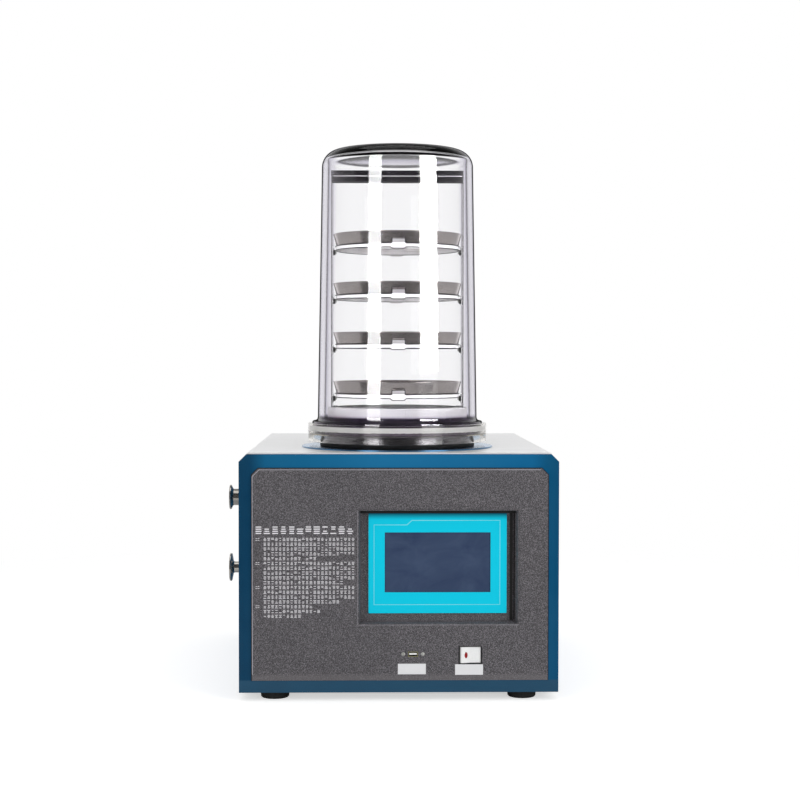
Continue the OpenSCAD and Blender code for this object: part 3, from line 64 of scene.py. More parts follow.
class Nodes:
    """A node tree under construction."""

    def __init__(self, tree):
        self.tree = tree

    def add(self, kind, inputs=None, **settings):
        """Adds a node. An input given as a socket is linked, any other is set."""
        made = self.tree.nodes.new(kind if "Node" in kind else "ShaderNode" + kind)
        for key, value in settings.items():
            setattr(made, key, value)
        for key, value in (inputs or {}).items():
            self.join(value, made.inputs[key])
        return made

    def join(self, value, socket):
        if isinstance(value, bpy.types.NodeSocket):
            self.tree.links.new(value, socket)
        elif value is not None:
            socket.default_value = value

    def maths(self, what, a, b=0.0, c=0.0, clamp=False):
        return self.add("Math", {0: a, 1: b, 2: c}, operation=what, use_clamp=clamp).outputs[0]

    def spread(self, factor, low, high, start=0.0, end=1.0):
        """Maps a factor to a range of values."""
        return self.add("MapRange", {0: factor, 1: start, 2: end, 3: low, 4: high}).outputs[0]

    def ramp(self, factor, *stops):
        """Colour ramp: each stop is its place and a colour or a level."""
        made = self.add("ValToRGB", {0: factor})
        points = made.color_ramp.elements
        while len(points) < len(stops):
            points.new(0.5)
        for point, (place, shade) in zip(points, stops):
            point.position = place
            point.color = shade if isinstance(shade, tuple) else (shade, shade, shade, 1.0)
        return made.outputs[0]


# ------------------------------------------------------------------ materials

def colour(*rgb):
    """A paint-chart colour, 0 to 255 each, as linear RGBA."""
    def linear(c):
        c /= 255
        return c / 12.92 if c <= 0.04045 else ((c + 0.055) / 1.055) ** 2.4
    return (*[linear(c) for c in rgb], 1.0)


class Finish(Nodes):
    """A material under construction: its node tree and its main shader."""

    def __init__(self, name, **sockets):
        self.material = bpy.data.materials.new(name)
        self.material.use_nodes = True
        super().__init__(self.material.node_tree)
        self.shader = self.tree.nodes["Principled BSDF"]
        self.surface = self.tree.nodes["Material Output"]
        for socket, value in sockets.items():
            self.shader.inputs[socket.replace("_", " ")].default_value = value

    def feed(self, socket, output):
        self.tree.links.new(output, self.shader.inputs[socket])

    def place(self, stretch=(1, 1, 1), centre=(0, 0, 0)):
        """Object coordinates, measured from centre and stretched."""
        coords = self.add("TexCoord").outputs["Object"]
        moved = self.add("VectorMath", {0: coords, 1: centre}, operation="SUBTRACT").outputs[0]
        return self.add("VectorMath", {0: moved, 1: stretch}, operation="MULTIPLY").outputs[0]

    def turned(self, centre):
        """Coordinates that run along the tool marks of a turned part: radius and height."""
        split = self.add("SeparateXYZ", {0: self.place(centre=centre)})
        x, y, z = split.outputs
        radius = self.maths("SQRT", self.maths("ADD", self.maths("MULTIPLY", x, x), self.maths("MULTIPLY", y, y)))
        angle = self.maths("ARCTAN2", y, x)
        return self.add("CombineXYZ", {0: radius, 1: z, 2: self.maths("MULTIPLY", angle, 0.004)}).outputs[0]

    def noise(self, where, size, detail=3.0, rough=0.55, distort=0.0):
        """Cloudy pattern whose features measure about size, in metres."""
        return self.add("TexNoise", {"Vector": where, "Scale": 1 / size, "Detail": detail, "Roughness": rough,
                                     "Distortion": distort}).outputs[0]

    def mix(self, factor, a, b, blend="MIX"):
        """Mixes two colours, each a socket or a colour."""
        return self.add("Mix", {0: factor, 6: a, 7: b}, data_type="RGBA", blend_type=blend).outputs[2]

    def relief(self, height, depth, edge=0.0, strength=1.0):
        """Bump of a real depth in metres, over softened edges."""
        bump = self.add("Bump", {"Height": height, "Distance": depth, "Strength": strength})
        if edge:
            self.join(self.add("Bevel", {"Radius": edge}, samples=4).outputs[0], bump.inputs["Normal"])
        self.feed("Normal", bump.outputs[0])


def coated(name, dark, light, grain, depth, rough, tone=0.35, edge=0.0006, detail=3.0, **sockets):
    """Paint, plastic or rubber: fine grain, slow changes of tone, and uneven gloss."""
    finish = Finish(name, **sockets)
    where = finish.place()
    fine = finish.noise(where, grain, detail)
    slow = finish.noise(where, 0.09, 2.0)
    blend = finish.add("Mix", {0: tone, 2: fine, 3: slow}).outputs[0]
    finish.feed("Base Color", finish.ramp(blend, (0.34, dark), (0.66, light)))
    finish.feed("Roughness", finish.spread(slow, rough - 0.05, rough + 0.05, 0.35, 0.65))
    finish.relief(fine, depth, edge)
    return finish.material


def brushed(name, dark, light, stretch, rough, depth=0.00002, edge=0.0004, centre=None, grain=0.0006, vary=0.07,
            shine=1.0):
    """Brushed, drawn or turned metal: streaks along one direction, or rings round an axis."""
    finish = Finish(name, Metallic=shine)
    where = finish.turned(centre) if centre else finish.place(stretch)
    streaks = finish.noise(where, grain, 4.0, 0.6)
    slow = finish.noise(finish.place(), 0.05, 2.0)
    blend = finish.add("Mix", {0: 0.4, 2: streaks, 3: slow}).outputs[0]
    finish.feed("Base Color", finish.ramp(blend, (0.32, dark), (0.68, light)))
    finish.feed("Roughness", finish.spread(streaks, rough - vary, rough + vary, 0.3, 0.7))
    finish.relief(streaks, depth, edge)
    return finish.material


def mirrored_flats(material):
    """Polishes the level faces of a sheet part to a mirror."""
    finish = Nodes(material.node_tree)
    shader = material.node_tree.nodes["Principled BSDF"]
    normal = finish.add("NewGeometry").outputs["True Normal"]
    level = finish.maths("ABSOLUTE", finish.add("SeparateXYZ", {0: normal}).outputs[2])
    flat = finish.maths("GREATER_THAN", level, 0.95)
    finish.join(flat, shader.inputs["Metallic"])
    worn = shader.inputs["Roughness"].links[0].from_socket
    finish.join(finish.add("Mix", {0: flat, 2: worn, 3: 0.05}).outputs[0], shader.inputs["Roughness"])
    return material


FRAME_SIDE, FRAME_FOOT = 16.9, 29.2
TRAP_AXIS = sum(span("drying_chamber"), Vector()) / 2
TRAP_AXIS.z = 0.0

blue_paint = coated("blue_paint", colour(2, 76, 118), colour(16, 98, 144), 0.0011, 0.00003, 0.34,
                    Specular_IOR_Level=0.22, Coat_Weight=0.12, Coat_Roughness=0.15)


def frame_paint():
    """Blue enamel of the front frame, with painted light: lighter along the top, painted shade on the uprights; a
    duller blue at the foot.
    """
    finish = Finish("frame_enamel", Specular_IOR_Level=0.14, Coat_Weight=0.06, Coat_Roughness=0.15)
    where = finish.place()
    fine = finish.noise(where, 0.0011)
    slow = finish.noise(where, 0.06, 2.0)
    low, high = span("front_frame")
    x, y, z = finish.add("SeparateXYZ", {0: where}).outputs
    across = finish.add("MapRange", {0: x, 1: low.x, 2: high.x}).outputs[0]
    edge = FRAME_SIDE * MM / (high.x - low.x)
    # Painted light across the frame: lightest through the middle, where the top band is, and painted shade on the
    # uprights, darkest at their outer edges.
    painted_light_band = finish.ramp(across, (0.0, colour(0, 52, 82)), (edge, colour(0, 56, 88)), (edge * 2.2, colour(9, 92, 133)),
                       (0.45, colour(24, 110, 157)), (1 - edge * 2.2, colour(10, 98, 146)),
                       (1 - edge, colour(0, 80, 120)), (1.0, colour(0, 72, 110)))
    foot = finish.add("MapRange", {0: z, 1: (FRAME_FOOT + 1.0) * MM, 2: (FRAME_FOOT - 0.5) * MM}).outputs[0]
    painted_light_band = finish.mix(foot, painted_light_band, colour(38, 75, 101))
    tone = finish.add("Mix", {0: 0.35, 2: fine, 3: slow}).outputs[0]
    finish.feed("Base Color", finish.mix(finish.spread(tone, 0.0, 0.1, 0.38, 0.62), painted_light_band, colour(40, 130, 175)))
    finish.feed("Roughness", finish.spread(slow, 0.3, 0.38, 0.35, 0.65))
    finish.relief(fine, 0.00003, 0.0009)
    return finish.material


def hammertone(name, shade):
    """Dark grey crinkle paint with fine pale specks, and a painted highlight: a lighter band at the height of the front
    panel's lower bevel.
    """
    finish = Finish(name, Specular_IOR_Level=0.45)
    where = finish.place()
    cells = finish.add("TexVoronoi", {"Vector": where, "Scale": 620.0, "Randomness": 1.0})
    fine = finish.noise(where, 0.0011, 3.0, 0.6)
    slow = finish.noise(where, 0.11, 2.0)
    body = finish.ramp(fine, (0.28, colour(*[c * shade for c in (52, 50, 52)])),
                       (0.50, colour(*[c * shade for c in (86, 84, 87)])),
                       (0.72, colour(*[c * shade for c in (168, 163, 170)])))
    toned = finish.mix(0.35, body, finish.ramp(slow, (0.35, colour(112, 110, 112)), (0.65, colour(142, 140, 142))),
                       "OVERLAY")
    height = finish.add("SeparateXYZ", {0: where}).outputs[2]
    # Painted highlight: the panel's lower bevel is painted lighter, as if it caught the light.
    lip = finish.spread(height, 0.4, 0.0, (FRAME_FOOT + 6.0) * MM, (FRAME_FOOT + 11.0) * MM)
    finish.feed("Base Color", finish.mix(lip, toned, colour(128, 124, 126)))
    finish.feed("Roughness", finish.spread(fine, 0.62, 0.4, 0.35, 0.7))
    crinkle = finish.maths("ADD", fine, finish.maths("MULTIPLY", cells.outputs["Distance"], 0.5))
    finish.relief(crinkle, 0.00022, 0.0008)
    return finish.material


panel_paint = hammertone("panel_hammertone", 1.0)
# The recess's copy of the paint is 6% lighter: painted light against the shade inside the recess.
recess_paint = hammertone("recess_hammertone", 1.06)
top_steel = brushed("top_plate_satin", colour(238, 239, 240), colour(250, 250, 251), (1, 0.02, 1), 0.3, edge=0.0012,
                    depth=0.000001, vary=0.015, shine=0.35)
# The disc under the collar is coloured blue.
disc_steel = brushed("disc_blued", colour(72, 118, 158), colour(112, 158, 196), None, 0.2, centre=TRAP_AXIS,
                     vary=0.03)
trap_steel = brushed("trap_polished", colour(112, 110, 116), colour(158, 156, 160), None, 0.2, centre=TRAP_AXIS)
tray_steel = brushed("tray_spun", colour(206, 198, 196), colour(222, 215, 213), None, 0.15, centre=TRAP_AXIS,
                     depth=0.000004, vary=0.03)
ring_steel = brushed("ring_satin", colour(164, 161, 165), colour(176, 174, 177), (0.05, 0.05, 1), 0.42, vary=0.04,
                     shine=0.1)
rack_steel = brushed("rack_satin", colour(150, 147, 152), colour(190, 187, 191), (0.05, 1, 1), 0.2, vary=0.04)
bar_steel = brushed("bar_dark_polish", colour(96, 92, 100), colour(138, 134, 142), (0.05, 1, 1), 0.12, vary=0.03,
                    depth=0.000004)
shelf_steel = coated("shelf_bright", colour(228, 227, 229), colour(244, 243, 244), 0.0009, 0.000004, 0.2)
# Painted shade: near-black lines laid along the shelves' rims, seats, dips and tab outlines, where shadow falls at
# their edges.
shade_line_steel = coated("hem_shadowed", colour(34, 32, 35), colour(58, 55, 58), 0.0009, 0.000004, 0.4,
                   Specular_IOR_Level=0.1)
mirrored_flats(shelf_steel)
mirrored_flats(ring_steel)
# A darker copy of the shelf's steel for the tab faces: painted shade.
tab_shaded_steel = coated("tab_satin", colour(136, 134, 136), colour(150, 148, 150), 0.0009, 0.000004, 0.35)
zinc = brushed("zinc_plating", colour(172, 172, 168), colour(214, 214, 210), (1, 1, 1), 0.30)
galvanised = brushed("galvanised_sheet", colour(140, 146, 150), colour(190, 194, 196), (1, 0.6, 1), 0.42, grain=0.006)
port_steel = brushed("port_turned", colour(150, 145, 138), colour(214, 210, 204), (0.02, 1, 1), 0.16)
dark_nut = brushed("nut_dark", colour(52, 52, 54), colour(86, 84, 82), (1, 1, 1), 0.38)
pipe_steel = brushed("pipe_drawn", colour(150, 150, 152), colour(205, 205, 205), (1, 1, 1), 0.26)
copper = brushed("copper_drawn", colour(150, 88, 58), colour(206, 138, 102), (1, 1, 0.4), 0.28)
aluminium = brushed("aluminium_sheet", colour(168, 172, 176), colour(208, 212, 215), (0.05, 1, 1), 0.34)
black_plastic = coated("plastic_black", colour(16, 16, 17), colour(30, 30, 32), 0.0009, 0.00003, 0.42)
rubber = coated("rubber_black", colour(12, 12, 12), colour(26, 25, 25), 0.0012, 0.00006, 0.66)
white_plastic = coated("rocker_white", colour(244, 244, 244), colour(252, 252, 251), 0.0016, 0.000008, 0.24,
                       Coat_Weight=0.4, Coat_Roughness=0.1)
red_plastic = coated("mark_red", colour(142, 18, 22), colour(170, 30, 34), 0.0008, 0.000008, 0.3)
label_film = coated("label_film", colour(230, 230, 232), colour(240, 240, 242), 0.0005, 0.000006, 0.36)
cream_plastic = coated("socket_cream", colour(122, 118, 66), colour(146, 140, 92), 0.0008, 0.000006, 0.4)
print_ink = coated("print_ink", colour(222, 220, 224), colour(246, 244, 248), 0.0008, 0.000004, 0.5, edge=0)
# Painted highlight: light lines laid along edges that catch the light.
painted_highlight = coated("edge_rubbed", colour(160, 156, 164), colour(196, 192, 200), 0.0009, 0.000004, 0.4)
outline_ink = coated("outline_ink", colour(96, 220, 236), colour(136, 230, 242), 0.0008, 0.000004, 0.4, edge=0)
foam = coated("foam_cellular", colour(196, 184, 140), colour(232, 222, 182), 0.0022, 0.0004, 0.85)
black_enamel = coated("compressor_enamel", colour(14, 15, 16), colour(30, 31, 33), 0.0014, 0.00003, 0.30,
                      Coat_Weight=0.4, Coat_Roughness=0.15)
motor_paint = coated("motor_paint", colour(48, 51, 55), colour(72, 76, 80), 0.0012, 0.00004, 0.44)
fan_plastic = coated("fan_plastic", colour(118, 123, 127), colour(150, 155, 158), 0.001, 0.00003, 0.46)
board_green = coated("board_solder_resist", colour(16, 76, 42), colour(34, 106, 62), 0.0012, 0.00003, 0.32)


def bezel_plastic():
    """Cyan plastic of the screen's surround, with a painted shadow just under the recess's upper edge."""
    finish = Finish("bezel_cyan", Roughness=0.42, Specular_IOR_Level=0.15)
    where = finish.place()
    fine = finish.noise(where, 0.0007)
    body = finish.ramp(fine, (0.34, colour(0, 203, 232)), (0.66, colour(0, 213, 242)))
    top = span("screen_bezel")[1].z
    # Painted shadow: darker towards the top, where the recess's upper edge shades the bezel.
    shade = finish.spread(finish.add("SeparateXYZ", {0: where}).outputs[2], 0.0, 1.0, top - 0.012, top - 0.002)
    finish.feed("Base Color", finish.mix(finish.maths("POWER", shade, 1.3), body, colour(0, 62, 88)))
    finish.relief(fine, 0.000012, 0.0006)
    return finish.material


def display_glass():
    """Dark display behind a glossy sheet, with a faint cloud of reflections."""
    finish = Finish("display_dark", Roughness=0.2, Specular_IOR_Level=0.2, Coat_Weight=0.5, Coat_Roughness=0.03)
    where = finish.place((1, 1, 1.6))
    cloud = finish.noise(where, 0.055, 3.0, 0.6, 0.8)
    finish.feed("Base Color", finish.ramp(cloud, (0.3, colour(52, 67, 96)), (0.7, colour(67, 82, 110))))
    finish.relief(finish.noise(where, 0.03, 1.0), 0.00002)
    return finish.material


def clear_wall(name, roughness, ior, tint, density, **sockets):
    """Clear material whose tint deepens with the length of wall that is looked through."""
    finish = Finish(name, Transmission_Weight=1.0, IOR=ior, Roughness=roughness, **sockets)
    depth = finish.add("VolumeAbsorption", {"Color": tint, "Density": density})
    finish.join(depth.outputs[0], finish.surface.inputs["Volume"])
    return finish


def chamber_acrylic():
    """Clear acrylic, violet where it is looked through edge on and painted near black at its very rim, a painted shade
    for the dark it refracts; painted bands of shade and light in the broad foot.
    """
    finish = clear_wall("chamber_acrylic", 0.0, 1.49, colour(172, 164, 198), 4.0, Specular_Tint=(0.3, 0.3, 0.3, 1),
                        Specular_IOR_Level=0.0)
    facing = finish.add("LayerWeight", {"Blend": 0.5}).outputs["Facing"]
    # Violet tint deepening to near black at the very rim: partly the acrylic's own tint, partly painted shade for the
    # dark it refracts.
    edge_tint_and_shade = finish.ramp(facing, (0.5, colour(255, 255, 255)), (0.58, colour(226, 223, 234)),
                          (0.74, colour(208, 204, 218)), (0.79, colour(120, 114, 138)), (0.82, colour(10, 9, 12)))
    finish.feed("Transmission Weight", finish.spread(facing, 1.0, 0.0, 0.8, 0.86))
    height = finish.add("SeparateXYZ", {0: finish.place()}).outputs[2]
    foot = finish.spread(height, 0.0, 1.0, 0.378, 0.402)
    # Painted shade and light in the foot: dark bands and a light line, standing for what the thick foot refracts.
    foot_shade_bands = finish.ramp(foot, (0.0, colour(214, 208, 214)), (0.26, colour(150, 144, 154)), (0.34, colour(92, 84, 98)),
                        (0.5, colour(78, 70, 84)), (0.56, colour(150, 142, 156)), (0.62, colour(84, 76, 90)),
                        (0.72, colour(110, 102, 118)), (0.8, colour(226, 222, 230)), (0.9, colour(255, 255, 255)))
    finish.feed("Base Color", finish.mix(1.0, foot_shade_bands, edge_tint_and_shade, "MULTIPLY"))
    return finish.material


def seal_silicone():
    """Translucent beige silicone, with a milky bead where it grips the chamber's foot."""
    finish = clear_wall("seal_silicone", 0.035, 1.41, colour(224, 214, 188), 12.0)
    where = finish.place(centre=TRAP_AXIS)
    x, y, height = finish.add("SeparateXYZ", {0: where}).outputs
    radius = finish.maths("SQRT", finish.maths("ADD", finish.maths("MULTIPLY", x, x), finish.maths("MULTIPLY", y, y)))
    grain = finish.noise(where, 0.0016, 3.0)
    low, high = 0.3755, 0.3826
    low_edge = finish.maths("ADD", low, finish.maths("MULTIPLY", finish.maths("SUBTRACT", grain, 0.5), 0.003))
    bead = finish.maths("MULTIPLY", finish.maths("GREATER_THAN", height, low_edge),
                        finish.maths("LESS_THAN", height, high))
    bead = finish.maths("MULTIPLY", bead, finish.maths("LESS_THAN", radius, 0.1290))
    finish.feed("Transmission Weight", finish.maths("SUBTRACT", 1.0, bead))
    finish.feed("Base Color", finish.mix(bead, colour(255, 255, 255), colour(255, 255, 255)))
    return finish.material


display = display_glass()
cyan_plastic = bezel_plastic()
acrylic = chamber_acrylic()
silicone = seal_silicone()

WEAR = {
    "front_frame": frame_paint(), "left_side_panel": blue_paint, "right_side_panel": blue_paint,
    "rear_panel": blue_paint, "top_plate": top_steel, "front_panel": panel_paint, "screen_recess": recess_paint,
    "screen_bezel": cyan_plastic, "lcd_glass": display, "screen_housing": black_plastic, "usb_socket": zinc,
    "usb_screws": zinc, "usb_label": label_film, "switch_label": label_film, "switch_housing": black_plastic,
    "switch_rocker": white_plastic, "base_disc": disc_steel, "collar_pad": rubber, "cold_trap_pot": trap_steel,
    "trap_insulation": foam, "evaporator_coil": copper, "seal_ring": silicone, "drying_chamber": acrylic,
    "rack_base_ring": ring_steel, "rack_posts": rack_steel, "rack_crossbar": bar_steel, "rack_screws": zinc,
    "rack_nuts": dark_nut, "vacuum_port": port_steel, "vacuum_pipe": pipe_steel, "vent_port": port_steel,
    "drain_pipe": pipe_steel, "vacuum_sensor": pipe_steel, "compressor": black_enamel,
    "compressor_grommets": rubber, "condenser": aluminium, "fan_shroud": black_plastic, "fan_motor": motor_paint,
    "fan_rotor": fan_plastic, "filter_drier": copper, "discharge_line": copper, "suction_line": copper,
    "power_supply": aluminium, "control_board": board_green, "power_inlet": black_plastic,
    "pump_outlet": black_plastic, "fuse_holder": black_plastic, "base_pan": galvanised, "feet": rubber,
    "foot_screws": zinc, "case_screws": zinc,
}
for number in range(1, 5):
    WEAR[f"shelf_{number}"] = shelf_steel
    WEAR[f"tray_{number}"] = tray_steel
for name, material in WEAR.items():
    for slot in nodes[name].material_slots:
        slot.material = material

# ------------------------------------------------------------------ shapes grown by rule

class Shape(Nodes):
    """A Geometry Nodes tree under construction, with named inputs: socket kind and usual value."""

    def __init__(self, name, **inputs):
        super().__init__(bpy.data.node_groups.new(name, "GeometryNodeTree"))
        face = self.tree.interface
        face.new_socket("Geometry", in_out="OUTPUT", socket_type="NodeSocketGeometry")
        face.new_socket("Geometry", in_out="INPUT", socket_type="NodeSocketGeometry")
        for label, (kind, value) in inputs.items():
            made = face.new_socket(label, in_out="INPUT", socket_type="NodeSocket" + kind)
            if value is not None:
                made.default_value = value
        face.new_socket("Finish", in_out="INPUT", socket_type="NodeSocketMaterial")
        self.inputs = self.add("NodeGroupInput").outputs

    def ends(self, geometry):
        """Ends the tree in real faces that wear the finish."""
        real = self.add("GeometryNodeRealizeInstances", {0: geometry})
        worn = self.add("GeometryNodeSetMaterial", {"Geometry": real.outputs[0], "Material": self.inputs["Finish"]})
        self.join(worn.outputs[0], self.add("NodeGroupOutput").inputs[0])
        return self

    def grow(self, name, finish, seed, node=None, body="machine", slot=None, smooth=35.0, **sizes):
        """Runs the tree on a seed mesh and keeps the result as a plain piece on its body."""
        piece = bpy.data.objects.new(name, seed)
        bpy.context.collection.objects.link(piece)
        modifier = piece.modifiers.new("shape", "NODES")
        modifier.node_group = self.tree
        sizes["Finish"] = finish
        for item in self.tree.interface.items_tree:
            if item.in_out == "INPUT" and item.name in sizes:
                modifier[item.identifier] = sizes[item.name]
        graph = bpy.context.evaluated_depsgraph_get()
        grown = bpy.data.meshes.new_from_object(piece.evaluated_get(graph), depsgraph=graph)
        piece.modifiers.remove(modifier)
        piece.data = grown
        grown.name = name
        settle(piece, smooth)
        return placed(piece, node, body, slot)


def settle(piece, smooth):
    """Merges doubles, turns the faces outwards and shades them smooth up to an angle."""
    mesh = bmesh.new()
    mesh.from_mesh(piece.data)
    bmesh.ops.remove_doubles(mesh, verts=mesh.verts, dist=1e-6)
    bmesh.ops.dissolve_degenerate(mesh, edges=mesh.edges, dist=1e-7)
    bmesh.ops.recalc_face_normals(mesh, faces=mesh.faces)
    mesh.to_mesh(piece.data)
    mesh.free()
    piece.data.shade_smooth()
    piece.data.set_sharp_from_angle(angle=math.radians(smooth))


def placed(piece, node=None, body="machine", slot=None):
    """Hangs a piece on its body and hides the CAD node it stands for; the slot is looked up but not used."""
    if node:
        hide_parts(node)
        slot = slot or slots[node]
    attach(piece, body)
    return piece


def chain(points, closed=False):
    """Seed mesh: a chain of points in millimetres, two or three numbers each."""
    mesh = bpy.data.meshes.new("chain")
    corners = [Vector(p).to_3d() * MM if len(p) == 3 else Vector((p[0], 0, p[1])) * MM for p in points]
    edges = [(i, i + 1) for i in range(len(corners) - 1)] + ([(len(corners) - 1, 0)] if closed else [])
    mesh.from_pydata(corners, edges, [])
    return mesh


def arc(x, z, radius, start, end, steps):
    """Points of an arc in a section, angles in degrees."""
    turns = [math.radians(start + (end - start) * i / steps) for i in range(steps + 1)]
    return [(x + radius * math.cos(a), z + radius * math.sin(a)) for a in turns]


def turned_shape():
    """Turns a half section (radius along X, height along Z) round an upright axis."""
    shape = Shape("turned_part", Divisions=("Int", 192), Axis=("Vector", None), Lean=("Vector", None))
    count = shape.add("GeometryNodeAttributeDomainSize", {"Geometry": shape.inputs["Geometry"]}).outputs["Point Count"]
    grid = shape.add("GeometryNodeMeshGrid", {"Size X": 1.0, "Size Y": 1.0, "Vertices Y": count,
                     "Vertices X": shape.maths("ADD", shape.inputs["Divisions"], 1.0)}).outputs["Mesh"]
    here = shape.add("GeometryNodeInputPosition").outputs[0]
    across, along, _ = shape.add("SeparateXYZ", {0: here}).outputs
    row = shape.maths("ROUND", shape.maths("MULTIPLY", shape.maths("ADD", along, 0.5),
                                           shape.maths("SUBTRACT", count, 1.0)))
    section = shape.add("GeometryNodeSampleIndex", {"Geometry": shape.inputs["Geometry"], "Value": here, "Index": row},
                        data_type="FLOAT_VECTOR").outputs[0]
    radius, _, height = shape.add("SeparateXYZ", {0: section}).outputs
    turn = shape.maths("MULTIPLY", shape.maths("ADD", across, 0.5), math.tau)
    spun = shape.add("CombineXYZ", {0: shape.maths("MULTIPLY", radius, shape.maths("COSINE", turn)),
                                    1: shape.maths("MULTIPLY", radius, shape.maths("SINE", turn)), 2: height})
    moved = shape.add("GeometryNodeSetPosition", {"Geometry": grid, "Position": spun.outputs[0]})
    stood = shape.add("GeometryNodeTransform", {"Geometry": moved.outputs[0], "Translation": shape.inputs["Axis"],
                                                "Rotation": shape.inputs["Lean"]})
    closed = shape.add("GeometryNodeMergeByDistance", {"Geometry": stood.outputs[0], "Distance": 1e-6})
    return shape.ends(closed.outputs[0])


def strip_shape():
    """Lays a flat strip of a width and a thickness along a path."""
    shape = Shape("laid_strip", Width=("Float", 0.001), Thickness=("Float", 0.0002))
    path = shape.add("GeometryNodeMeshToCurve", {"Mesh": shape.inputs["Geometry"]}).outputs[0]
    upright = shape.add("GeometryNodeSetCurveNormal", {"Curve": path, "Normal": (0.0, 1.0, 0.0)}, mode="FREE")
    section = shape.add("GeometryNodeCurvePrimitiveQuadrilateral", {"Width": shape.inputs["Thickness"],
                                                                   "Height": shape.inputs["Width"]})
    laid = shape.add("GeometryNodeCurveToMesh", {"Curve": upright.outputs[0], "Profile Curve": section.outputs[0],
                                                 "Fill Caps": True})
    return shape.ends(laid.outputs[0])


def print_shape():
    """Rows of short flat dashes, some left out and each of its own length, on an upright face."""
    shape = Shape("printed_rows", Cells=("Int", 24), Rows=("Int", 17), Width=("Float", 0.1), Height=("Float", 0.1),
                  Dash=("Vector", None), Shortest=("Float", 0.5), Filled=("Float", 0.9), Centre=("Vector", None),
                  Seed=("Int", 1))
    grid = shape.add("GeometryNodeMeshGrid", {"Size X": shape.inputs["Width"], "Size Y": shape.inputs["Height"],
                     "Vertices X": shape.inputs["Cells"], "Vertices Y": shape.inputs["Rows"]}).outputs["Mesh"]
    stood = shape.add("GeometryNodeTransform", {"Geometry": grid, "Translation": shape.inputs["Centre"],
                                                "Rotation": (math.pi / 2, 0.0, 0.0)})
    chance = shape.add("FunctionNodeRandomValue", {"Seed": shape.inputs["Seed"]}, data_type="FLOAT")
    kept = shape.maths("LESS_THAN", chance.outputs[1], shape.inputs["Filled"])
    length = shape.add("FunctionNodeRandomValue", {2: shape.inputs["Shortest"], 3: 1.0,
                       "Seed": shape.maths("ADD", shape.inputs["Seed"], 7.0)}, data_type="FLOAT").outputs[1]
    stretch = shape.add("CombineXYZ", {0: length, 1: 1.0, 2: 1.0})
    dash = shape.add("GeometryNodeMeshCube", {"Size": shape.inputs["Dash"]})
    laid = shape.add("GeometryNodeInstanceOnPoints", {"Points": stood.outputs[0], "Selection": kept,
                     "Instance": dash.outputs["Mesh"], "Scale": stretch.outputs[0]})
    return shape.ends(laid.outputs[0])


turned = turned_shape()
strip = strip_shape()
printed = print_shape()

# ------------------------------------------------------------------ clear chamber and its seal

JAR_WALL, JAR_ROOF, JAR_TAPER, JAR_INNER_BEND = 9.0, 12.0, 6.2, 7.0
FOOT_OUT, FOOT_HIGH, FOOT_FILLET = 8.0, 17.0, 6.0
SHOULDER, SHOULDER_TURN = 25.0, 81.6


def bell(low_r, top_r, low, top, bend, steps):
    """Outline of a bell from its crown down: shallow dome, round shoulder and drawn-in wall."""
    turn = math.radians(SHOULDER_TURN)
    core = top_r - bend
    dome = bend + core / math.cos(turn)
    spring = top - bend - core * (1 / math.cos(turn) - math.tan(turn))
    crown = arc(0, top - dome, dome, 90, SHOULDER_TURN, steps)
    shoulder = arc(core, spring, bend, SHOULDER_TURN, 0, steps)
    wall = [(top_r + (low_r - top_r) * t, spring + (low - spring) * t) for t in (0.01, 0.3, 0.6, 0.9, 0.99, 1.0)]
    return crown + shoulder[1:] + wall


def drying_chamber():
    """Clear bell with a thick roof and a broad foot."""
    low, high = [corner / MM for corner in span("drying_chamber")]
    foot_r = (high.x - low.x) / 2
    low_r = foot_r - FOOT_OUT
    top_r = low_r - JAR_TAPER
    foot = low.z + FOOT_HIGH
    outside = bell(low_r, top_r, foot + FOOT_FILLET, high.z, SHOULDER, 24)
    outside += arc(low_r + FOOT_FILLET, foot + FOOT_FILLET, FOOT_FILLET, 180, 262, 8)[1:]
    outside += arc(foot_r - 1.5, foot - 1.5, 1.5, 90, 0, 6) + arc(foot_r - 0.6, low.z + 0.6, 0.6, 0, -90, 3)
    inside = bell(low_r - JAR_WALL, top_r - JAR_WALL, low.z, high.z - JAR_ROOF, JAR_INNER_BEND, 24)
    return turned.grow("clear_chamber", acrylic, chain(outside + inside[::-1]), "drying_chamber", Divisions=256,
                       Axis=TRAP_AXIS)


def seal_ring():
    """Soft profiled ring that holds the chamber's foot and grips the trap's collar."""
    low, high = [corner / MM for corner in span("seal_ring")]
    r = (high.x - low.x) / 2
    land = span("cold_trap_pot")[1].z / MM
    web = span("drying_chamber")[0].z / MM
    inner = r - 6.0
    web_in = (span("rack_base_ring")[1].x - span("rack_base_ring")[0].x) / 2 / MM + 1.6
    section = [(web_in, land), (inner, land), (inner, low.z + 0.4), (inner + 0.4, low.z)]
    section += arc(r - 0.9, low.z + 0.9, 0.9, -90, 0, 5) + [(r, land - 0.8), (r - 0.5, land + 0.2), (r - 0.5, web - 0.6),
                                                            (r, web + 0.4)]
    section += arc(r - 0.9, high.z - 0.9, 0.9, 0, 90, 5)
    section += [(inner + 0.5, high.z), (inner, high.z - 0.5), (inner, web), (web_in + 0.4, web), (web_in, web - 0.4)]
    turned.grow("silicone_seal", silicone, chain(section + section[:1]), "seal_ring", Divisions=256, Axis=TRAP_AXIS)


def seat_plates():
    """Polished disc and rubber pad under the trap's collar."""
    for name, node, finish, edge in (("polished_disc", "base_disc", disc_steel, 0.5),
                                     ("rubber_pad", "collar_pad", rubber, 1.1)):
        low, high = [corner / MM for corner in span(node)]
        r = (high.x - low.x) / 2
        bore = (span("cold_trap_pot")[1].x - span("cold_trap_pot")[0].x) / 2 / MM - 13.0 + 1.5 + 1.0
        section = [(bore, low.z)] + arc(r - edge, low.z + edge, edge, -90, 0, 4)
        section += arc(r - edge, high.z - edge, edge, 0, 90, 4) + [(bore, high.z), (bore, low.z)]
        turned.grow(name, finish, chain(section), node, Axis=TRAP_AXIS)


# ------------------------------------------------------------------ rack and trays

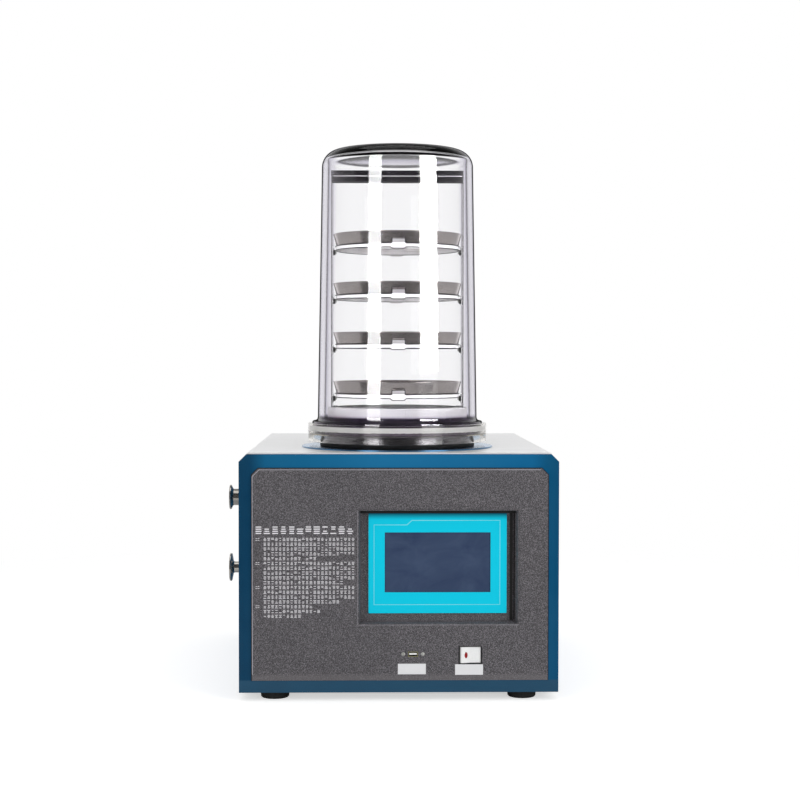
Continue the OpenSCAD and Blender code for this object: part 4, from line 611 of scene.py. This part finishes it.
def rack_ring():
    """Base ring with a rolled shoulder, its top turned inwards, and the seam of its weld."""
    low, high = [corner / MM for corner in span("rack_base_ring")]
    r = (high.x - low.x) / 2
    wall, flange, bend, lip = 1.5, 11.0, 1.8, 6.0
    section = [(r - wall, low.z), (r, low.z)] + arc(r - bend, high.z - bend, bend, 0, 90, 6)
    section += [(r - flange, high.z), (r - flange, high.z - wall)]
    section += arc(r - bend, high.z - bend, bend - wall, 90, 0, 3) + [(r - wall, low.z)]
    turned.grow("rack_ring", ring_steel, chain(section), "rack_base_ring", Axis=TRAP_AXIS)
    hem = [(r - flange, high.z - wall), (r - flange, high.z - lip), (r - flange + wall, high.z - lip),
           (r - flange + wall, high.z - wall)]
    # The inturned lip wears the brighter shelf steel: painted light against the shade inside the ring.
    turned.grow("ring_hem", shelf_steel, chain(hem + hem[:1]), slot="rack_steel", Axis=TRAP_AXIS)
    seam_x = 10.0
    face = TRAP_AXIS.y / MM - math.sqrt(r * r - seam_x * seam_x)
    path = [(seam_x, face + 0.1, low.z + 18), (seam_x, face + 0.1, high.z - 3)]
    strip.grow("ring_seam", ring_steel, chain(path), slot="rack_steel", Width=0.7 * MM, Thickness=0.5 * MM)


def spun_trays():
    """Four spun trays: flat floor, round foot, flared wall and a rolled rim."""
    for number in range(1, 5):
        low, high = [corner / MM for corner in span(f"tray_{number}")]
        bead, wall, flare = 0.8, 0.8, 3.5
        r = (high.x - low.x) / 2 - bead
        foot = r - flare
        z, top = low.z, high.z
        section = [(0, z), (foot * 0.5, z), (foot - 1.9, z)] + arc(foot - 1.7, z + 1.9, 1.9, -80, -8, 6)
        section += arc(r, top - bead, bead, -60, 212, 26)
        section += arc(foot - 1.7, z + 1.9, 1.1, -8, -80, 4) + [(foot - 2.0, z + wall), (foot * 0.5, z + wall),
                                                               (0, z + wall)]
        turned.grow(f"spun_tray_{number}", tray_steel, chain(section), f"tray_{number}", smooth=20, Axis=TRAP_AXIS)


SHELF_R = 91.8


def rack_lines():
    """Painted highlight along the crossbar's bead, and painted shade: dark lines along each shelf's rim, dip and tab,
    and a darker face on each tab.
    """
    low, high = [corner / MM for corner in span("rack_crossbar")]
    z = (low.z + high.z) / 2
    # Painted highlight: a bright strip along the crossbar's bead.
    strip.grow("crossbar_bead_highlight", ring_steel, chain([(low.x + 1, low.y - 0.1, z), (high.x - 1, low.y - 0.1, z)]),
               slot="rack_steel", Width=1.0 * MM, Thickness=0.5 * MM)
    hem, tab_w, dip, rim = 0.75, 18.7, 2.2, 5.6
    for number in range(1, 5):
        low, high = [corner / MM for corner in span(f"shelf_{number}")]
        floor = span(f"tray_{number}")[0].z / MM
        # Painted shade lines under each shelf's rim and along the tray's seat.
        for part, r, z in (("rim", SHELF_R, floor - rim), ("seat", SHELF_R + 0.6, floor)):
            section = [(r + hem * math.cos(a), z + hem * math.sin(a)) for a in [math.tau * i / 10 for i in range(11)]]
            turned.grow(f"{part}_hem_{number}", shade_line_steel, chain(section), slot="shelf_steel", Divisions=160,
                        Axis=TRAP_AXIS)
        top = high.z
        front = low.y - 0.15
        tab = [(-tab_w / 2, floor), (-tab_w / 2, top - 1), (-tab_w / 2 + 1, top), (tab_w / 2 - 1, top),
               (tab_w / 2, top - 1), (tab_w / 2, floor)]
        bow = [(-tab_w / 2 - 2.4, floor - rim), (-tab_w / 2, floor - rim - dip), (tab_w / 2 - 1, floor - rim - dip),
               (tab_w / 2 + 1.5, floor - rim)]
        # Each tab's face wears the darker copy of the shelf steel, a painted shade.
        strip.grow(f"tab_face_{number}", tab_shaded_steel, chain([(0, front + 0.1, floor + 0.6), (0, front + 0.1, top - 0.4)]),
                   slot="shelf_steel", Width=(tab_w - 0.6) * MM, Thickness=0.3 * MM)
        # Painted shade lines round the tab and along the dip below it.
        for part, line in (("tab", tab), ("bow", bow)):
            strip.grow(f"{part}_hem_{number}", shade_line_steel, chain([(x, front, z) for x, z in line]), slot="shelf_steel",
                       Width=1.5 * MM, Thickness=0.3 * MM)


# ------------------------------------------------------------------ side ports

def side_ports():
    """Turned tube ends with clamp flanges on the left side."""
    wall_x = span("left_side_panel")[0].x / MM
    for name, node, tube, bore in (("vacuum_flange", "vacuum_port", 27.0, 24.0), ("vent_flange", "vent_port", 16.0, 13.0)):
        low, high = [corner / MM for corner in span(node)]
        out, rear, r, big = wall_x - low.x, wall_x - high.x, tube / 2, (high.z - low.z) / 2
        section = [(bore / 2, rear), (r, rear), (r, -6.5), (r + 5, -6.5), (r + 5, -1.5), (r, -1.5), (r, 0), (r + 2.9, 0),
                   (r + 3.5, 0.6), (r + 3.5, 1.4), (r + 2.9, 2), (r + 0.8, 2), (r, 2.8), (r, out - 6.4),
                   (r + 1.0, out - 5.3)]
        section += [(big - 1.2, out - 3.3), (big - 0.2, out - 2.8), (big, out - 2.4), (big, out - 0.7),
                    (big - 0.7, out), (bore / 2 + 1.5, out), (bore / 2, out - 1.5), (bore / 2, rear)]
        centre = Vector((wall_x * MM, (low.y + high.y) / 2 * MM, (low.z + high.z) / 2 * MM))
        turned.grow(name, port_steel, chain(section), node, Divisions=96, Axis=centre, Lean=(0.0, -math.pi / 2, 0.0))


# ------------------------------------------------------------------ front panel

PANEL_CUT = 9.0


def panel_details():
    """Painted shadow line round the panel, a painted highlight along its upper edges, rows of printed dashes, and the
    outline on the screen's bezel.
    """
    low, high = [corner / MM for corner in span("front_panel")]
    frame_face = span("front_frame")[0].y / MM
    edge = 0.5
    left_edge, right_edge, top, cut = low.x - edge, high.x + edge, high.z + edge, PANEL_CUT + edge * 0.4
    line = [(left_edge, low.z), (left_edge, top - cut), (left_edge + cut, top), (right_edge - cut, top),
            (right_edge, top - cut), (right_edge, low.z)]
    # Painted shadow: a black strip on the frame round the panel, where the gap between them falls dark.
    strip.grow("panel_shadow_line", rubber, chain([(x, frame_face - 0.3, z) for x, z in line]), slot="black_rubber",
               Width=1.0 * MM, Thickness=0.6 * MM)
    # Painted highlight along the panel's left, cut-corner and top edges; the path named worn is this highlight's.
    side, crown, slope = low.x + 0.9, high.z - 1.7, PANEL_CUT + 0.6
    worn = [(side, low.z + 9), (side, crown - slope), (side + slope, crown), (high.x - slope - 0.9, crown)]
    strip.grow("panel_edge_light", painted_highlight, chain([(x, low.y - 0.03, z) for x, z in worn]), slot="grey_paint",
               Width=0.9 * MM, Thickness=0.1 * MM)
    face = low.y
    ink = 0.06
    title_z, title_w, body_w, pitch = 241.5, 128.0, 123.5, 6.76
    left, right = -201.0, -62.0
    printed.grow("printed_heading", print_ink, chain([(0, 0)]), slot="label_white", Cells=12, Rows=4,
                 Width=title_w * MM, Height=9.0 * MM, Dash=(9.4 * MM, ink * MM, 1.5 * MM), Shortest=0.55, Filled=0.9,
                 Centre=(((left + right) / 2 - 1.5) * MM, (face - ink / 2) * MM, title_z * MM), Seed=3)
    fill = {5: 0.60, 10: 0.87, 14: 0.83, 15: 0.55, 16: 0.64, 17: 0.41}
    for row in range(1, 18):
        cells = max(2, round(24 * fill.get(row, 1.0)))
        width = body_w * (cells - 1) / 23
        z = title_z - 12.95 - pitch * (row - 1)
        printed.grow(f"printed_row_{row}", print_ink, chain([(0, 0)]), slot="label_white", Cells=cells, Rows=3,
                     Width=width * MM, Height=3.3 * MM, Dash=(4.1 * MM, ink * MM, 0.8 * MM), Shortest=0.45,
                     Filled=0.86, Seed=20 + row,
                     Centre=((left + 12.9 + width / 2) * MM, (face - ink / 2) * MM, z * MM))
        if row in (1, 6, 11, 15):
            printed.grow(f"printed_mark_{row}", print_ink, chain([(0, 0)]), slot="label_white", Cells=2, Rows=2,
                         Width=3.0 * MM, Height=2.6 * MM, Dash=(2.6 * MM, ink * MM, 0.7 * MM), Shortest=0.8,
                         Filled=1.0, Seed=60 + row, Centre=((left + 2.5) * MM, (face - ink / 2) * MM, z * MM))
    bezel_face = span("screen_bezel")[0].y / MM
    right_x, low_z, high_z, step_z, step_x, ramp_x = 142.6, 134.6, 253.8, 247.5, 11.3, 18.3
    left_x = -35.2
    outline = [(left_x, low_z), (left_x, step_z), (step_x, step_z), (ramp_x, high_z), (right_x, high_z),
               (right_x, low_z)]
    strip.grow("bezel_outline", outline_ink, chain([(x, bezel_face - 0.03, z) for x, z in outline], closed=True),
               slot="label_white", Width=1.3 * MM, Thickness=0.06 * MM)


def rocker_mark():
    """Small red oval pressed into the rocker's left half."""
    rocker = nodes["switch_rocker"]
    low, high = [corner / MM for corner in span("switch_rocker")]
    centre_x, centre_z, half_w, half_h = 93.8, 65.2, 1.3, 3.0
    ring = [(centre_x + half_w * math.cos(a), centre_z + half_h * math.sin(a))
            for a in [math.tau * i / 40 for i in range(40)]]

    def face_at(x, z):
        """Front face of the rocker at a place, in millimetres."""
        hit, point, _, _ = rocker.ray_cast(Vector((x * MM, low.y * MM - 0.02, z * MM)), Vector((0, 1, 0)))
        return point.y / MM if hit else low.y

    path = [(x, face_at(x, z) - 0.04, z) for x, z in ring]
    strip.grow("rocker_mark", red_plastic, chain(path, closed=True), body="rocker", slot="rocker_white",
               Width=2.6 * MM, Thickness=0.16 * MM)
    core = [(centre_x, face_at(centre_x, z) - 0.07, z) for z in (centre_z - half_h - 0.6, centre_z, centre_z + half_h + 0.6)]
    strip.grow("rocker_mark_core", red_plastic, chain(core), body="rocker", slot="rocker_white", Width=1.8 * MM,
               Thickness=0.16 * MM)


def socket_details():
    """Cream rims and white tongue of the data socket, and a black strip in its throat, a painted shade."""
    low, high = [corner / MM for corner in span("usb_socket")]
    x, z, face = 19.6, 66.6, low.y
    for name, finish, points, wide, deep, slot in (
            ("socket_rim", cream_plastic, [(x - 6.6, z - 3.1), (x - 6.6, z + 3.1), (x + 6.6, z + 3.1),
                                           (x + 6.6, z - 3.1)], 0.9, 0.5, "socket_metal"),
            ("socket_tongue", white_plastic, [(x - 5.2, z + 0.3), (x + 5.2, z + 0.3)], 2.3, 1.6, "label_white"),
            # Painted shade: a black strip deep in the socket's throat.
            ("socket_throat_shade", black_plastic, [(x - 6.0, z), (x + 6.0, z)], 5.6, 0.3, "black_plastic")):
        depth = {"socket_rim": face + 0.1, "socket_tongue": face + 1.4, "socket_throat_shade": face + 4.6}[name]
        strip.grow(name, finish, chain([(px, depth, pz) for px, pz in points], closed=len(points) > 2), slot=slot,
                   Width=wide * MM, Thickness=deep * MM)


RECESS_MOUTH = (-56.6, 167.0, 109.3, 268.9)
RECESS_DRAFT = 3.4


def recess_details():
    """Painted shadow as a black strip along the recess's top, a black strip down its right side with a bright bead, and
    a painted highlight along the bottom and left of its mouth.
    """
    bezel = span("screen_bezel")[0].y / MM
    floor_y = span("screen_bezel")[1].y / MM
    mouth = span("front_panel")[0].y / MM
    left, right, low, high = RECESS_MOUTH
    # Painted shadow: a black strip under the recess's upper edge.
    strip.grow("recess_shadow_top", rubber, chain([(left + 0.6, bezel - 1.0, high - 2.5), (right - 0.6, bezel - 1.0,
               high - 2.5)]), slot="black_rubber", Width=4.4 * MM, Thickness=1.6 * MM)
    # A black strip down the recess's right side.
    side = right - RECESS_DRAFT - 3.6
    strip.grow("recess_black_strip_side", rubber, chain([(side, floor_y - 1.2, low + 3.4), (side, floor_y - 1.2, high - 3.0)]),
               slot="black_rubber", Width=6.4 * MM, Thickness=2.2 * MM)
    strip.grow("recess_bead", recess_paint, chain([(side + 1.4, floor_y - 2.6, low + 3.6), (side + 1.4, floor_y - 2.6,
               high - 5.0)]), slot="recess_plastic", Width=0.7 * MM, Thickness=0.7 * MM)
    # Painted highlight: a thin light line along the bottom and left edges of the recess's mouth.
    gap = 1.6
    edge = [(left - gap, low - gap), (left - gap, high + gap), (right + gap, high + gap), (right + gap, low - gap)]
    strip.grow("recess_mouth_highlight", painted_highlight, chain([(x, mouth + 0.02, z) for x, z in edge[1:] + edge[:1]][2:] + [(left - gap,
               mouth + 0.02, high)]), slot="black_rubber", Width=0.5 * MM, Thickness=0.1 * MM)


chamber = drying_chamber()
seal_ring()
seat_plates()
rack_ring()
spun_trays()
rack_lines()
side_ports()
panel_details()
socket_details()
recess_details()
rocker_mark()

# ------------------------------------------------------------------ floor, lights and camera

def room_level(tree, x, y):
    """Brightness of the room in mirrors, by compass direction: dark in front, a lamp on either side of it."""
    turn = tree.maths("ARCTAN2", x, tree.maths("MULTIPLY", y, -1.0))
    return tree.ramp(tree.maths("ADD", tree.maths("DIVIDE", turn, math.tau), 0.5),
                     *[(0.5 + degrees / 360, level) for degrees, level in ROOM])


def studio_floor():
    """Pale floor that keeps the object's shadow near it and goes on as plain white."""
    finish = Finish("studio_floor", Roughness=0.9)
    finish.shader.inputs["Base Color"].default_value = (0.8, 0.8, 0.8, 1)
    path = finish.add("LightPath").outputs
    direct = finish.maths("MAXIMUM", path["Is Glossy Ray"], path["Is Transmission Ray"])
    direct = finish.maths("MULTIPLY", direct, finish.maths("LESS_THAN", path["Diffuse Depth"], 0.5))
    mirrored = finish.maths("MULTIPLY", direct, finish.maths("GREATER_THAN", path["Glossy Depth"], 0.5))
    seen = finish.maths("MAXIMUM", path["Is Camera Ray"], finish.maths("SUBTRACT", direct, mirrored))
    glow = finish.add("Emission", {"Color": (1, 1, 1, 1), "Strength": finish.maths("MULTIPLY", seen, FLOOR_GLOW)})
    both = finish.add("AddShader", {0: finish.shader.outputs[0], 1: glow.outputs[0]})
    where = finish.place((1, 1, 0), TRAP_AXIS)
    away = finish.add("VectorMath", {0: where}, operation="LENGTH").outputs["Value"]
    x, y, _ = finish.add("SeparateXYZ", {0: where}).outputs
    plain = finish.add("Emission", {"Color": (1, 1, 1, 1), "Strength": 1.0})
    room = finish.add("Emission", {"Color": (1, 1, 1, 1), "Strength": room_level(finish, x, y)})
    far = finish.add("MapRange", {0: away, 1: 0.55, 2: 1.6}, interpolation_type="SMOOTHSTEP").outputs[0]
    beyond = finish.add("MapRange", {0: away, 1: 0.7, 2: 1.1}, interpolation_type="SMOOTHSTEP").outputs[0]
    blend = finish.add("MixShader", {0: finish.maths("MULTIPLY", far, seen), 1: both.outputs[0], 2: plain.outputs[0]})
    blend = finish.add("MixShader", {0: finish.maths("MULTIPLY", beyond, mirrored), 1: blend.outputs[0],
                                     2: room.outputs[0]})
    finish.join(blend.outputs[0], finish.surface.inputs["Surface"])
    mesh = bpy.data.meshes.new("studio_floor")
    reach = 30.0
    mesh.from_pydata([(-reach, -reach, 0), (reach, -reach, 0), (reach, reach, 0), (-reach, reach, 0)], [],
                     [(0, 1, 2, 3)])
    mesh.materials.append(finish.material)
    floor = bpy.data.objects.new("studio_floor", mesh)
    bpy.context.collection.objects.link(floor)


def studio_world():
    """White backdrop for what is seen or looked through, a dark room with soft walls in reflections."""
    world = bpy.data.worlds.new("studio")
    bpy.context.scene.world = world
    world.use_nodes = True
    room = Nodes(world.node_tree)
    path = room.add("LightPath").outputs
    x, y, height = room.add("SeparateXYZ", {0: room.add("TexCoord").outputs["Generated"]}).outputs
    walls = room.maths("MULTIPLY", room_level(room, x, y), room.spread(height, 1.0, 0.3, 0.3, 0.7))
    above = room.spread(height, 1.0, 0.02, 0.3, 0.5)
    mirrored = room.maths("GREATER_THAN", path["Glossy Depth"], 0.5)
    shown = room.add("Mix", {0: mirrored, 2: above, 3: walls}).outputs[0]
    direct = room.maths("MAXIMUM", path["Is Glossy Ray"], path["Is Transmission Ray"])
    direct = room.maths("MULTIPLY", direct, room.maths("LESS_THAN", path["Diffuse Depth"], 0.5))
    inside = room.maths("MULTIPLY", path["Is Transmission Ray"], AMBIENT_INSIDE - AMBIENT)
    level = room.add("Mix", {0: direct, 2: room.maths("ADD", inside, AMBIENT), 3: shown}).outputs[0]
    level = room.maths("MAXIMUM", level, path["Is Camera Ray"])
    back = world.node_tree.nodes["Background"].inputs
    room.join(level, back["Strength"])
    back["Color"].default_value = (1, 1, 1, 1)


def softbox(name, azimuth, distance, height, width, tall, radiance, tilt=0.0, only=None):
    """Rectangular lamp on a circle round the trap's axis, facing it. Azimuth 0 is in front, 90 to the right."""
    lamp = bpy.data.lights.new(name, "AREA")
    lamp.shape = "RECTANGLE"
    lamp.size, lamp.size_y = width, tall
    lamp.energy = radiance * math.pi * width * tall
    a = math.radians(azimuth)
    away = Vector((math.sin(a), -math.cos(a), 0))
    obj = bpy.data.objects.new(name, lamp)
    obj.location = TRAP_AXIS + away * distance + Vector((0, 0, height))
    aim = -away + Vector((0, 0, tilt))
    obj.rotation_euler = aim.to_track_quat("-Z", "Y").to_euler()
    bpy.context.collection.objects.link(obj)
    if only:
        lit = bpy.data.collections.new(name + "_on")
        lit.objects.link(only)
        obj.light_linking.receiver_collection = lit
        obj.visible_transmission = False


def studio_camera():
    """Camera a little left of the middle and a little above the cabinet, level but for a slight downward tilt."""
    data = bpy.data.cameras.new("camera")
    data.lens = 70.55
    data.sensor_width = 36.0
    data.clip_end = 100.0
    camera = bpy.data.objects.new("camera", data)
    turn = Matrix.Rotation(math.radians(-1.172), 4, "Z")
    tip = Matrix.Rotation(math.radians(90 - 1.602), 4, "X")
    roll = Matrix.Rotation(math.radians(0.066), 4, "Z")
    camera.matrix_world = Matrix.Translation((-0.0439, -2.4700, 0.4853)) @ turn @ tip @ roll
    bpy.context.collection.objects.link(camera)
    bpy.context.scene.camera = camera


AMBIENT, AMBIENT_INSIDE = 0.5, 0.6
FLOOR_GLOW = 0.56
ROOM = ((-180, 1.0), (-146, 0.95), (-130, 0.45), (-72, 0.42), (-67, 0.07), (-27, 0.1), (0, 0.06), (37, 0.1), (62, 0.12),
        (68, 0.42), (130, 0.45), (146, 0.95), (180, 1.0))
studio_floor()
studio_world()
softbox("key_right", 44.0, 2.0, 0.95, 1.0, 1.7, 2.7)
softbox("key_left", -34.0, 2.0, 0.95, 0.7, 1.7, 2.4)
softbox("shine_right", 45.0, 2.05, 1.215, 1.0, 1.43, 100.0, only=chamber)
softbox("shine_left", -34.0, 2.05, 1.2, 0.7, 1.56, 60.0, only=chamber)
softbox("shine_left_low", -34.0, 2.05, 0.24, 0.7, 0.36, 9.0, only=chamber)
softbox("overhead", 0.0, 0.2, 2.3, 1.6, 1.6, 1.1, tilt=-50.0)
studio_camera()
bpy.context.scene.view_settings.view_transform = "Standard"
